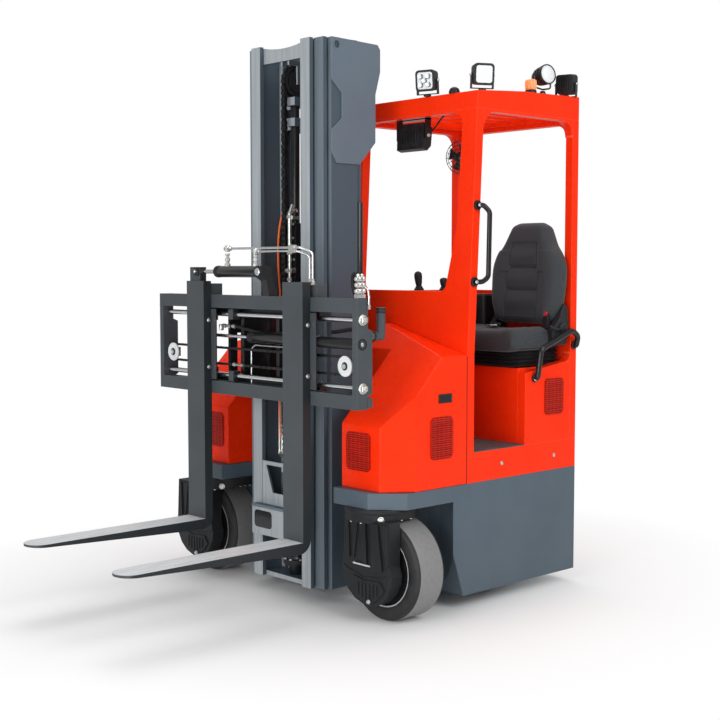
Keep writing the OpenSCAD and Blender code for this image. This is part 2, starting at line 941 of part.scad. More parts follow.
module guide_rods() {
    color(steel)
        for (z = [frame_z + bar_h + guide_in, frame_top - bar_h - guide_in])
            bar_x(-frame_x + end_t, frame_x - end_t, y_rods, z, guide_r);
}

mid_cyl_y = y_rods;
mid_cyl_z = frame_z + 260;
top_cyl_y = y_shank + 27;
top_cyl_z = frame_top + 104;
mid_ram_r = 8;
top_ram_r = 9;

module positioner_barrels() {
    x1 = frame_x - end_t;
    color(black) {
        difference() {
            bar_x(-20, x1, mid_cyl_y, mid_cyl_z, mid_cyl_r);
            bar_x(-21, x1 - 30, mid_cyl_y, mid_cyl_z, mid_ram_r + seat_gap);
        }
        difference() {
            union() {
                bar_x(-208, 112, top_cyl_y, top_cyl_z, top_cyl_r);
                yz_plate(98, 138)
                    polygon([
                        [y_frame, frame_top], [y_frame + 52, frame_top],
                        [y_frame + 20, frame_top + 70], [top_cyl_y + 24, top_cyl_z + 24],
                        [top_cyl_y - 24, top_cyl_z + 24], [top_cyl_y - 24, top_cyl_z - 24],
                        [y_frame - 14, frame_top + 66]]);
            }
            bar_x(-209, 100, top_cyl_y, top_cyl_z, top_ram_r + seat_gap);
        }
    }
}

disc_r = 42;
sprocket_r = 34;
disc_x = frame_x - end_t - 60;
disc_z = frame_z + 170;

module positioner_chain() {
    y0 = y_frame + 12;
    color(steel)
        both_sides()
            bar_y(disc_x, y0, y0 + 8, disc_z, disc_r);
    color(dark) {
        both_sides()
            bar_y(disc_x, y0 + 7, y0 + 18, disc_z, sprocket_r);
        for (z = [disc_z - sprocket_r - 6, disc_z + sprocket_r - 2])
            span([-disc_x, y0 + 8.5, z], [disc_x, y0 + 16.5, z + 8]);
    }
}

pipe_r = 5;

module hydraulics() {
    z1 = 1547;
    color(steel) {
        span([frame_x - end_t, y_frame + 8, frame_top], [frame_x, y_frame + 48, frame_top + 95]);
        for (p = [[-134, z1, 391], [67, z1 - 14, 372]])
            tube([
                [p[0], top_cyl_y, top_cyl_z + top_cyl_r], [p[0], top_cyl_y, p[1]],
                [p[2] - 30, top_cyl_y, p[1]], [p[2], y_rods, p[1] - 20],
                [p[2], y_rods, frame_top + 50]], pipe_r);
    }
}

// Forks

heel_r = 60;
carrier_t = 5;
clamp_h = 52;

// Side outline of a fork, Y then Z, with its blade tapering below
module fork_side() {
    y1 = y_shank + fork_t;
    z0 = blade_z - heel_t;
    difference() {
        polygon([
            [y_shank, shank_z], [y1, shank_z], [y1, z0], [y_shank - 30, z0],
            [y_tip, blade_z - tip_t], [y_tip, blade_z], [y_shank, blade_z]]);
        corner_cut([y1, z0], heel_r);
    }
}

// What rounds an outer corner whose arms run towards -X and +Y
module corner_cut(p, r) {
    difference() {
        translate([p.x - r, p.y - 1]) square([r + 1, r + 1]);
        translate([p.x - r, p.y + r]) circle(r = r);
    }
}

// A fork with its carrier, its middle at x
module fork_body(x) {
    y1 = y_shank + fork_t;
    z_lo = frame_z + bar_h + 6;
    z_hi = frame_top - bar_h - 6;
    color(dark) {
        intersection() {
            yz_plate(x - fork_w / 2, x + fork_w / 2) fork_side();
            linear_extrude(shank_z + 1) {
                translate([x - fork_w / 2, y_tip + fork_w / 2]) square([fork_w, fork_len]);
                translate([x, y_tip + fork_w / 2]) circle(r = fork_w / 2);
            }
        }
        difference() {
            union() {
                span([x - fork_w / 2, y1 - 1, z_lo], [x + fork_w / 2 + 35, y1 + carrier_t, z_hi]);
                for (z = [z_lo, z_hi - clamp_h])
                    span([x - 50, y1, z], [x + 50, y_rods + 20, z + clamp_h]);
            }
            for (z = [frame_z + bar_h + guide_in, frame_top - bar_h - guide_in])
                bar_x(x - 51, x + 51, y_rods, z, guide_r + turn_gap);
        }
    }
}

module fork_right() { fork_body(fork_x); }

module fork_left() {
    y1 = y_shank + fork_t;
    fork_body(-fork_x);
    color(dark) {
        span([-fork_x - 20, y1, mid_cyl_z - 21], [-fork_x + 20, mid_cyl_y + 20, mid_cyl_z + 21]);
        span([-fork_x - 50, y1 - 33, shank_z - 1], [-fork_x + 29, y1, top_cyl_z + 20]);
    }
}

module fork_left_rods() {
    color(steel) {
        bar_x(-fork_x + 20, 300, mid_cyl_y, mid_cyl_z, mid_ram_r);
        bar_x(-fork_x + 29, -3, top_cyl_y, top_cyl_z, top_ram_r);
    }
}

// Wheel units

// Reach of the leg beside the wheel's axis
leg_side = 126;
hub_r = 70;
dish_r = 150;
dish_d = 30;

// A wheel unit without its wheel, its kingpin at the origin, its wheel t along its roll
module steer_leg(t) {
    z_top = band_z - seat_gap;
    y_disc = inset - wheel_w / 2;
    y_leg = y_disc - 5;
    x1 = t + leg_side;
    x0 = x1 - leg_w;
    color(black) {
        translate([0, 0, z_top - ring_h]) cylinder(r = ring_r, h = ring_h);
        intersection() {
            translate([0, 0, z_top - ring_front_h]) cylinder(r = ring_r, h = ring_front_h);
            span([-ring_r, -ring_r, 0], [ring_r, y_leg, z_top]);
        }
        translate([0, 0, z_top - 1]) cylinder(r = pin_r, h = deck_z - z_top - 4);
        xz_plate(y_leg - leg_t, y_leg)
            polygon([
                [x0 + 17, z_top - ring_h], [x1 - 14, z_top - ring_h],
                [x1 - 14, wheel_r + 40], [x1, wheel_r], [x1 - 6, wheel_r - 40],
                [x1 - 30, wheel_r - 85], [x1 - 64, wheel_r - 120], [x1 - 106, wheel_r - 138],
                [x0 + 132, wheel_r - 138], [x0 + 80, wheel_r - 122],
                [x0 + 37, wheel_r - 90], [x0 + 9, wheel_r - 45], [x0, wheel_r],
                [x0 + 7, wheel_r + 45]]);
        bar_y(t, y_leg - 1, y_disc + dish_d - 6, wheel_r, hub_r);
        bar_y(t, y_leg - 1, inset + 10, wheel_r, axle_r);
    }
}

module wheel(t) {
    y0 = inset - wheel_w / 2;
    color("gray")
        difference() {
            bar_y(t, y0, inset + wheel_w / 2, wheel_r, wheel_r);
            bar_y(t, y0 - 1, y0 + dish_d, wheel_r, dish_r);
            bar_y(t, inset + wheel_w / 2 - dish_d, inset + wheel_w / 2 + 1, wheel_r, dish_r);
            bar_y(t, y0 - 1, inset + 11, wheel_r, axle_r + turn_gap);
        }
}

// Places what is drawn at one of the three kingpins
module at_right() { translate([king_x, y_king, 0]) children(); }
module at_left() { translate([-king_x, y_king, 0]) children(); }
module at_rear() { translate([0, y_king_rear, 0]) children(); }

module steer_leg_right() { at_right() steer_leg(trail); }
module steer_leg_left() { at_left() steer_leg(-trail); }
module steer_leg_rear() { at_rear() steer_leg(0); }
module wheel_right() { at_right() wheel(trail); }
module wheel_left() { at_left() wheel(-trail); }
module wheel_rear() { at_rear() wheel(0); }

chassis_frame();
pod_right();
pod_left();
grilles();
hatch_handles();
lower_body();
battery_hood();
battery_block();
cab_floor();
seat_base();
cab_front_wall();
cab_rear_wall();
cab_left_wall();
cab_right_side();
roof_frame();
entry_handle();
side_rail();
seat_suspension();
seat_cushion();
seat_back();
control_console();
lamps();
beacon();
ceiling_unit();
outer_mast();
mast_side_plates();
lift_barrels();
mid_mast();
inner_mast();
centre_cylinder();
lift_chain();
carriage_base();
shift_frame();
guide_rods();
positioner_barrels();
positioner_chain();
hydraulics();
fork_left();
fork_right();
fork_left_rods();
steer_leg_right();
steer_leg_left();
steer_leg_rear();
wheel_right();
wheel_left();
wheel_rear();
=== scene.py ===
"""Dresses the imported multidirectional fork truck.

The CAD solids keep their places and get procedural finishes and broken edges. Finer pieces are
built on them in mesh code: tyres, gear legs, chains, hoses, fittings, lamps, hand rails and the
sewn driver seat. Everything is in metres in the row frame: Z up, forks towards -Y, and the open
side of the cab towards +X.
"""

from __future__ import annotations

import json
import logging
import math
from dataclasses import dataclass
from enum import Enum
from typing import Callable, Iterable, Sequence

import bmesh
import bpy
from mathutils import Matrix, Vector

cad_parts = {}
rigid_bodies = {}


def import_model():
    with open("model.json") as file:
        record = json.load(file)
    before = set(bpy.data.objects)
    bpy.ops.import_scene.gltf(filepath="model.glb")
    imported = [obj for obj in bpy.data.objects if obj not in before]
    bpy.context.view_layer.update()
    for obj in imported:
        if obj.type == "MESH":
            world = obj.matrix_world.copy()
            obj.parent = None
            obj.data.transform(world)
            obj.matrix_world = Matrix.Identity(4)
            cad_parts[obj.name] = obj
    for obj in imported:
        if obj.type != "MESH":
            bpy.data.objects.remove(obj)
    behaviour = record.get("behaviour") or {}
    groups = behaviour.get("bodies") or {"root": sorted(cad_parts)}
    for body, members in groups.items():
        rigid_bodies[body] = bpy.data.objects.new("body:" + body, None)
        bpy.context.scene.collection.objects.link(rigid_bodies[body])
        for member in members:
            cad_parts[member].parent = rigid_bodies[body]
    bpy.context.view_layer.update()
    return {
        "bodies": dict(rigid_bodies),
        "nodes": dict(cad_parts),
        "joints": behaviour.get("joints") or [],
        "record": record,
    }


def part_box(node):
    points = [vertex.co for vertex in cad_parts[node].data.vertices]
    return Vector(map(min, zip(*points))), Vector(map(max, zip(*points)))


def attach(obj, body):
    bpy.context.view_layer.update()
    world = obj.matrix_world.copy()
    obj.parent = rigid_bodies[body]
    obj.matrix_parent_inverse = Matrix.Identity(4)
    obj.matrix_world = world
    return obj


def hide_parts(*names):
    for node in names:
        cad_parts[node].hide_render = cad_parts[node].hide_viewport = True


LOG = logging.getLogger("scene")
# The pieces' Y is measured from a datum plane this far from the row frame's origin
DATUM_Y = -0.01675
Point = Sequence[float]
Colour = tuple[float, float, float, float]


class Body(str, Enum):
    """The CAD bodies that pieces ride on."""

    ROOT = "root"
    INNER = "inner_stage"
    CARRIAGE = "carriage"
    POSITIONER = "positioner"
    LEFT_FORK = "left_fork"
    RIGHT_FORK = "right_fork"


class Axis(Enum):
    """An axis of the row frame, with the two axes of the plane across it."""

    X = (0, 1, 2)
    Y = (1, 0, 2)
    Z = (2, 0, 1)

    def place(self, along: float, u: float, v: float) -> Vector:
        """Returns the point at a distance along this axis and at u, v in the plane across it."""
        point = [0.0, 0.0, 0.0]
        point[self.value[0]] = along
        point[self.value[1]] = u
        point[self.value[2]] = v
        return Vector(point)


def linear(colour: str, alpha: float = 1.0) -> Colour:
    """Turns an sRGB hex colour into the linear colour that a shader takes.

    Args:
        colour: Six hex digits with a leading hash.
        alpha: Opacity.

    Returns:
        Red, green, blue and alpha, linear.
    """
    parts = [int(colour[i : i + 2], 16) / 255 for i in (1, 3, 5)]
    bent = [p / 12.92 if p <= 0.04045 else ((p + 0.055) / 1.055) ** 2.4 for p in parts]
    return (bent[0], bent[1], bent[2], alpha)


# Materials


class Graph:
    """A material's node tree, with a shader and an output that are already joined."""

    def __init__(self, name: str) -> None:
        """Makes an empty material of that name."""
        self.material = bpy.data.materials.new(name)
        self.material.use_nodes = True
        self.tree = self.material.node_tree
        self.tree.nodes.clear()
        self.shader = self.add("BsdfPrincipled")
        self.output = self.add("OutputMaterial", Surface=self.shader)
        self.place = self.add("TexCoord").outputs["Object"]

    def add(self, kind: str, *values, **named) -> bpy.types.Node:
        """Adds a node with its settings and links.

        Args:
            kind: The node's type, without the words that all types start with.
            *values: Values, nodes or output sockets for its inputs, in their order.
            **named: The same by the input's name, with a capital and with underscores for spaces, and
                settings of the node itself in small letters.

        Returns:
            The new node. Where it is a value itself, its first output is meant.
        """
        node = self.tree.nodes.new("ShaderNode" + kind)
        for key, value in named.items():
            if not key[0].isupper():
                setattr(node, key, value)
        inputs = dict(enumerate(values)) | {k.replace("_", " "): v for k, v in named.items()
            if k[0].isupper()}
        for key, value in inputs.items():
            self.put(node.inputs[key], value)
        return node

    def put(self, socket: bpy.types.NodeSocket, value: object) -> None:
        """Sets an input to a value, or links a node's first output or an output socket to it."""
        if isinstance(value, bpy.types.Node):
            value = value.outputs[0]
        if isinstance(value, bpy.types.NodeSocket):
            self.tree.links.new(value, socket)
        else:
            socket.default_value = value

    def edges(self, radius: float) -> bpy.types.NodeSocket:
        """Returns a mask of the edges sharper than radius metres."""
        soft = self.add("Bevel", Radius=radius, samples=4)
        hard = self.add("NewGeometry").outputs["Normal"]
        dot = self.add("VectorMath", soft, hard, operation="DOT_PRODUCT")
        return self.add("MapRange", dot.outputs["Value"], 0.995, 0.86)

    def finish(self, **sockets) -> bpy.types.Material:
        """Sets or links the shader's inputs and returns the material.

        Args:
            **sockets: Values or sockets by input name, with underscores for spaces.
        """
        for key, value in sockets.items():
            self.put(self.shader.inputs[key.replace("_", " ")], value)
        return self.material


@dataclass(frozen=True)
class Paint:
    """Sprayed or powder-coated steel.

    Attributes:
        colour: Colour of the coat.
        shade: Colour that dust and thin patches turn it to.
        rough: Roughness of the coat.
        coat: Weight of the clear coat.
        peel: Depth of the orange peel.
        worn: Colour of the edges, lightened by wear and by a painted highlight.
        edge_wear_and_highlight: How much of that shows.
        shine: How strongly the coat reflects.
    """

    colour: str
    shade: str
    rough: float = 0.32
    coat: float = 0.0
    peel: float = 0.00012
    worn: str = "#B9BCBE"
    edge_wear_and_highlight: float = 0.25
    shine: float = 0.2

    # An even satin skin with a fine ripple, and edges lightened by wear and a painted highlight
    SURFACE = "powder_coated_steel"

    def make(self, name: str) -> bpy.types.Material:
        """Builds the material: mottled colour, edges lightened by wear and a painted highlight, and the
        fine ripple of sprayed paint.
        """
        g = Graph(name)
        # Broad patches 250 mm across keep large panels from looking printed
        patches = g.add("MapRange", g.add("TexNoise", Vector=g.place, Scale=4, Detail=4, Roughness=0.55),
            0.35, 0.75)
        colour = g.add("MixRGB", patches, linear(self.colour), linear(self.shade))
        # Edges get a painted highlight line, with wear where steel is handled, broken up a little by 6 mm
        # flecks
        flecks = g.add("Math", g.add("Math", g.add("MapRange",
            g.add("TexNoise", Vector=g.place, Scale=1 / 0.006, Detail=4, Roughness=0.55), 0.45, 0.6), 0.3,
            operation="MULTIPLY"), 0.7, operation="ADD")
        rubbed = g.add("Math", g.edges(0.003), g.add("Math", flecks, self.edge_wear_and_highlight, operation="MULTIPLY"),
            operation="MULTIPLY")
        colour = g.add("MixRGB", rubbed, colour, linear(self.worn))
        # Smears 60 mm across vary the gloss, as wiping does
        smears = g.add("TexNoise", Vector=g.place, Scale=1 / 0.06, Detail=5, Roughness=0.55)
        rough = g.add("Math", g.add("Math", smears, 0.16, operation="MULTIPLY"), self.rough - 0.08,
            operation="ADD")
        # Orange peel about 3 mm across breaks up the reflections
        normal = g.add("Bump", Height=g.add("TexNoise", Vector=g.place, Scale=1 / 0.003, Detail=2,
            Roughness=0.55), Distance=self.peel)
        return g.finish(Base_Color=colour, Roughness=rough, Normal=normal, Coat_Weight=self.coat,
                        Coat_Roughness=0.12, Specular_IOR_Level=self.shine)


@dataclass(frozen=True)
class PerforatedSheet:
    """Powder-coated sheet with rows of punched holes that let air through.

    Attributes:
        colour: Colour of the coat.
        dark: Painted shade seen through the holes.
    """

    colour: str
    dark: str

    # Rows of slots filled with painted shade in an even satin skin
    SURFACE = "punched_powder_coated_sheet"

    def make(self, name: str) -> bpy.types.Material:
        """Builds the material: slots 4 mm high in rows, filled with painted shade, with soft lips and a
        satin coat.
        """
        g = Graph(name)
        place = g.add("SeparateXYZ", g.place)
        # Rows every 9 mm, each 4.5 mm high, broken along their length every 26 mm
        row = g.add("Math", place.outputs["Z"], 0.0045, operation="PINGPONG")
        along = g.add("Math", g.add("Math", place.outputs["X"], place.outputs["Y"], operation="ADD"),
            0.013, operation="PINGPONG")
        open_row = g.add("MapRange", row, 0.002, 0.0026)
        open_along = g.add("MapRange", along, 0.0016, 0.0022)
        slot = g.add("Math", open_row, open_along, operation="MULTIPLY")
        patches = g.add("Math", g.add("MapRange", g.add("TexNoise", Vector=g.place, Scale=1 / 0.08,
            Detail=4, Roughness=0.55), 0.35, 0.75), 0.4, operation="MULTIPLY")
        coat = g.add("MixRGB", patches, linear(self.colour), linear("#8E0D07"))
        # The slots get painted shade
        colour = g.add("MixRGB", g.add("Math", slot, 0.85, operation="MULTIPLY"), coat, linear(self.dark))
        normal = g.add("Bump", Height=g.add("Math", 1.0, slot, operation="SUBTRACT"), Distance=0.0015)
        return g.finish(Base_Color=colour, Roughness=0.45, Normal=normal, Specular_IOR_Level=0.15)


@dataclass(frozen=True)
class RolledSteel:
    """Painted mast sections whose rolling faces the rollers have rubbed bright, with a painted highlight on
    the front faces and edges.

    Attributes:
        colour: Colour of the paint.
        bright: Colour of the rubbed front faces and edges, which includes a painted highlight.
        rough: Roughness of the paint.
    """

    colour: str
    bright: str
    rough: float = 0.38

    # Streaks down the rails, and rubbed tracks under a painted highlight on the front faces
    SURFACE = "rolled_painted_steel"

    def make(self, name: str) -> bpy.types.Material:
        """Builds the material: streaks down the rails, and a paler face towards the front and along the
        edges, partly painted highlight.
        """
        g = Graph(name)
        # Streaks 4 mm wide and 300 mm long run down the rails, as grease and rain do
        streaks = g.add("MapRange", g.add("TexNoise", Vector=g.add("Mapping", Vector=g.place,
            Scale=(220, 220, 3)), Scale=1, Detail=4, Roughness=0.55), 0.3, 0.75)
        colour = g.add("MixRGB", g.add("Math", streaks, 0.2, operation="MULTIPLY"), linear(self.colour),
            linear("#39434D"))
        facing = g.add("SeparateXYZ", g.add("NewGeometry").outputs["Normal"])
        front = g.add("MapRange", facing.outputs["Y"], -0.9, -0.98)
        # The front faces get a painted highlight, broken into long rubbed tracks where the steel shows
        # through the paint
        tracks = g.add("MapRange", g.add("TexNoise", Vector=g.add("Mapping", Vector=g.place,
            Scale=(60, 60, 1.5)), Scale=1, Detail=3, Roughness=0.55), 0.25, 0.6)
        front_polish_and_highlight = g.add("Math", front, g.add("Math", g.add("Math", tracks, 0.3, operation="MULTIPLY"), 0.7,
            operation="ADD"), operation="MULTIPLY")
        colour = g.add("MixRGB", g.add("Math", front_polish_and_highlight, 0.6, operation="MULTIPLY"), colour,
            linear(self.bright))
        # The edges get a painted highlight as well
        colour = g.add("MixRGB", g.add("Math", g.edges(0.002), 0.3, operation="MULTIPLY"), colour,
            linear(self.bright))
        rough = g.add("Math", g.add("Math", g.add("Math", streaks, 0.14, operation="MULTIPLY"), self.rough,
            operation="ADD"), g.add("Math", front_polish_and_highlight, 0.1, operation="MULTIPLY"), operation="SUBTRACT")
        normal = g.add("Bump", Height=g.add("TexNoise", Vector=g.place, Scale=400, Detail=2,
            Roughness=0.55), Distance=0.00012)
        return g.finish(Base_Color=colour, Roughness=rough, Normal=normal, Specular_IOR_Level=0.25)


@dataclass(frozen=True)
class ForgedFork:
    """Forged fork arms whose paint the pallets have rubbed off the upper face of the blade.

    Attributes:
        colour: Colour of the paint.
        shade: Colour of its darker patches.
        bare: Colour of the bare steel.
    """

    colour: str
    shade: str
    bare: str

    # Long bright scratches in a dull dark coat
    SURFACE = "forged_scratched_steel"

    def make(self, name: str) -> bpy.types.Material:
        """Builds the material: powder coat, bright steel with long scratches along the blade, and painted
        shade on the sides.
        """
        g = Graph(name)
        patches = g.add("MapRange", g.add("TexNoise", Vector=g.place, Scale=5, Detail=4, Roughness=0.55),
            0.35, 0.75)
        paint = g.add("MixRGB", patches, linear(self.colour), linear(self.shade))
        normal = g.add("SeparateXYZ", g.add("NewGeometry").outputs["Normal"])
        place = g.add("SeparateXYZ", g.place)
        # Only the upward faces of the blade are rubbed, and more so towards the tip
        upward = g.add("Math", g.add("MapRange", normal.outputs["Z"], 0.8, 0.95),
            g.add("MapRange", place.outputs["Z"], 0.4, 0.36), operation="MULTIPLY")
        tipward = g.add("MapRange", place.outputs["Y"], -0.22, -0.4)
        worn = g.add("Math", upward, g.add("MapRange", g.add("Math", tipward,
            g.add("TexNoise", Vector=g.place, Scale=1 / 0.03, Detail=4, Roughness=0.55), operation="ADD"),
            0.4, 0.8), operation="MULTIPLY")
        # Scratches 1.5 mm wide run the way the pallets slide
        scratches = g.add("TexNoise", Vector=g.add("Mapping", Vector=g.place, Scale=(650, 8, 650)),
            Scale=1, Detail=4, Roughness=0.55)
        steel = g.add("MixRGB", g.add("MapRange", scratches, 0.3, 0.75), linear(self.bare),
            linear("#9B9EA1"))
        rough = g.add("Math", g.add("Math", scratches, 0.2, operation="MULTIPLY"), 0.32, operation="ADD")
        height = g.add("Bump", Height=g.add("TexNoise", Vector=g.place, Scale=1 / 0.003, Detail=3,
            Roughness=0.55), Distance=0.00015)
        # The flame-cut sides, facing along X, get a painted shade
        side = g.add("MapRange", g.add("Math", normal.outputs["X"], operation="ABSOLUTE"), 0.8, 0.95)
        paint = g.add("MixRGB", g.add("Math", side, 0.75, operation="MULTIPLY"), paint, linear("#121517"))
        return g.finish(Base_Color=g.add("MixRGB", worn, paint, steel), Roughness=rough,
            Specular_IOR_Level=0.25, Metallic=g.add("Math", worn, 0.1, operation="MULTIPLY"), Normal=height)


@dataclass(frozen=True)
class BareMetal:
    """Turned, drawn or plated metal without paint.

    Attributes:
        colour: Colour of the metal.
        grime: Colour of the oil and dirt on it.
        rough: Roughness.
        grain: Scale of the machining marks along X, Y and Z, per metre.
        dirt: How much grime shows.
    """

    colour: str
    grime: str
    rough: float = 0.18
    grain: Point = (600, 600, 600)
    dirt: float = 0.3

    # Highlights drawn out along the tool marks, with oil in between
    SURFACE = "machined_metal"

    def make(self, name: str) -> bpy.types.Material:
        """Builds the material: machining marks along the grain, and a film of oil in patches."""
        g = Graph(name)
        film = g.add("Math", g.add("MapRange", g.add("TexNoise", Vector=g.place, Scale=1 / 0.03, Detail=5,
            Roughness=0.55), 0.42, 0.72), self.dirt, operation="MULTIPLY")
        marks = g.add("TexNoise", Vector=g.add("Mapping", Vector=g.place, Scale=self.grain), Scale=1,
            Detail=3, Roughness=0.55)
        colour = g.add("MixRGB", film, linear(self.colour), linear(self.grime))
        rough = g.add("Math", g.add("Math", marks, 0.14, operation="MULTIPLY"),
            g.add("Math", film, 0.25, operation="MULTIPLY"), operation="ADD")
        rough = g.add("Math", rough, self.rough - 0.07, operation="ADD")
        return g.finish(Base_Color=colour, Roughness=rough, Metallic=1.0,
            Normal=g.add("Bump", Height=marks, Distance=3e-05))


@dataclass(frozen=True)
class Moulding:
    """Moulded plastic or rubber with a fine grain.

    Attributes:
        colour: Colour of the moulding.
        dust: Colour of the dust in its grain.
        rough: Roughness.
        grain: Size of the grain.
        depth: Depth of the grain.
    """

    colour: str
    dust: str
    rough: float = 0.5
    grain: float = 0.0012
    depth: float = 0.0001

    # A soft sheen that the grain of the mould breaks up
    SURFACE = "moulded_polymer"

    def make(self, name: str) -> bpy.types.Material:
        """Builds the material: pebbled grain, dust in patches and a slightly uneven sheen."""
        g = Graph(name)
        pebbles = g.add("TexVoronoi", Vector=g.place, Scale=1 / self.grain)
        dust = g.add("MapRange", g.add("TexNoise", Vector=g.place, Scale=20, Detail=5, Roughness=0.55),
            0.4, 0.8)
        colour = g.add("MixRGB", g.add("Math", dust, 0.5, operation="MULTIPLY"), linear(self.colour),
            linear(self.dust))
        rough = g.add("Math", g.add("Math", dust, 0.14, operation="MULTIPLY"), self.rough - 0.05,
            operation="ADD")
        normal = g.add("Bump", Height=pebbles.outputs["Distance"], Distance=self.depth)
        return g.finish(Base_Color=colour, Roughness=rough, Normal=normal, Specular_IOR_Level=0.3)


@dataclass(frozen=True)
class Tread:
    """Cast polyurethane that has been turned round and has rolled on concrete.

    Attributes:
        colour: Colour of the tread.
        scuff: Colour of its scuffs.
    """

    colour: str
    scuff: str

    # A dull skin, scuffed paler where it rolls
    SURFACE = "cast_polyurethane"

    def make(self, name: str) -> bpy.types.Material:
        """Builds the material: fine lathe lines round the tyre, and scuffs from rolling."""
        g = Graph(name)
        lines = g.add("TexNoise", Vector=g.add("Mapping", Vector=g.place, Scale=(4, 500, 4)), Scale=1,
            Detail=2, Roughness=0.55)
        scuffs = g.add("MapRange", g.add("TexNoise", Vector=g.place, Scale=50, Detail=6, Roughness=0.55),
            0.5, 0.75)
        colour = g.add("MixRGB", g.add("Math", scuffs, 0.5, operation="MULTIPLY"), linear(self.colour),
            linear(self.scuff))
        rough = g.add("Math", g.add("Math", scuffs, 0.15, operation="MULTIPLY"), 0.5, operation="ADD")
        normal = g.add("Bump", Height=lines, Distance=0.00025, Strength=0.6)
        normal = g.add("Bump", Height=g.add("TexNoise", Vector=g.place, Scale=250, Detail=4,
            Roughness=0.55), Distance=0.0001, Strength=1.0, Normal=normal)
        return g.finish(Base_Color=colour, Roughness=rough, Normal=normal)


@dataclass(frozen=True)
class Upholstery:
    """Woven seat cloth over foam.

    Attributes:
        colour: Colour of the yarn.
        high: Colour of the yarn where it catches the light.
    """

    colour: str
    high: str

    # Fine threads that take the light softly
    SURFACE = "woven_upholstery"

    def make(self, name: str) -> bpy.types.Material:
        """Builds the material: a 1.2 mm weave, slubs in the yarn and a soft sheen."""
        g = Graph(name)
        across = g.add("TexWave", Vector=g.place, Scale=130.0, Distortion=1.5, Detail=2.0,
            bands_direction="X")
        upward = g.add("TexWave", Vector=g.place, Scale=130.0, Distortion=1.5, Detail=2.0,
            bands_direction="Z")
        weave = g.add("Math", across.outputs["Fac"], upward.outputs["Fac"], operation="MULTIPLY")
        slubs = g.add("TexNoise", Vector=g.place, Scale=250, Detail=4, Roughness=0.55)
        lit = g.add("Math", g.add("Math", weave, slubs, operation="ADD"), 0.45, operation="MULTIPLY")
        colour = g.add("MixRGB", lit, linear(self.colour), linear(self.high))
        normal = g.add("Bump", Height=weave, Distance=0.0004, Strength=0.8)
        normal = g.add("Bump", Height=g.add("TexNoise", Vector=g.place, Scale=1 / 0.03, Detail=3,
            Roughness=0.55), Distance=0.0015, Strength=0.5, Normal=normal)
        return g.finish(Base_Color=colour, Roughness=0.82, Normal=normal, Sheen_Weight=0.15,
                        Sheen_Roughness=0.45)


@dataclass(frozen=True)
class Lens:
    """Clear or coloured plastic over a lamp.

    Attributes:
        colour: Colour of the plastic.
        glow: Strength of its emission, a painted glow for the light that it sends back.
        clear: How much light passes.
    """

    colour: str
    glow: float = 0.0
    clear: float = 0.6

    # Depth behind a glossy face
    SURFACE = "moulded_clear_lens"

    def make(self, name: str) -> bpy.types.Material:
        """Builds the material: optic ribs 3 mm apart inside a smooth plastic."""
        g = Graph(name)
        ribs = g.add("TexNoise", Vector=g.place, Scale=1 / 0.003, Detail=1, Roughness=0.55)
        colour = g.add("MixRGB", g.add("Math", ribs, 0.35, operation="MULTIPLY"), linear(self.colour),
            linear("#FFFFFF"))
        # The emission is a painted glow in the lens
        return g.finish(Base_Color=colour, Roughness=0.08, Normal=g.add("Bump", Height=ribs,
            Distance=0.0004), Transmission_Weight=self.clear, IOR=1.49, Emission_Color=linear(self.colour),
            Emission_Strength=self.glow)


@dataclass(frozen=True)
class DeckPlate:
    """Rubber matting with raised studs.

    Attributes:
        colour: Colour of the mat.
        dust: Colour of the dust between its studs.
    """

    colour: str
    dust: str

    # Studs whose worn tops catch the light
    SURFACE = "studded_rubber_mat"

    def make(self, name: str) -> bpy.types.Material:
        """Builds the material: studs 15 mm apart, with dust between them."""
        g = Graph(name)
        studs = g.add("TexVoronoi", Vector=g.place, Scale=66.0, Randomness=0.0)
        top = g.add("MapRange", studs.outputs["Distance"], 0.42, 0.3)
        dust = g.add("Math", g.add("Math", 1.0, top, operation="SUBTRACT"),
            g.add("TexNoise", Vector=g.place, Scale=20, Detail=4, Roughness=0.55), operation="MULTIPLY")
        colour = g.add("MixRGB", dust, linear(self.colour), linear(self.dust))
        return g.finish(Base_Color=colour, Roughness=0.6, Normal=g.add("Bump", Height=top, Distance=0.0012))


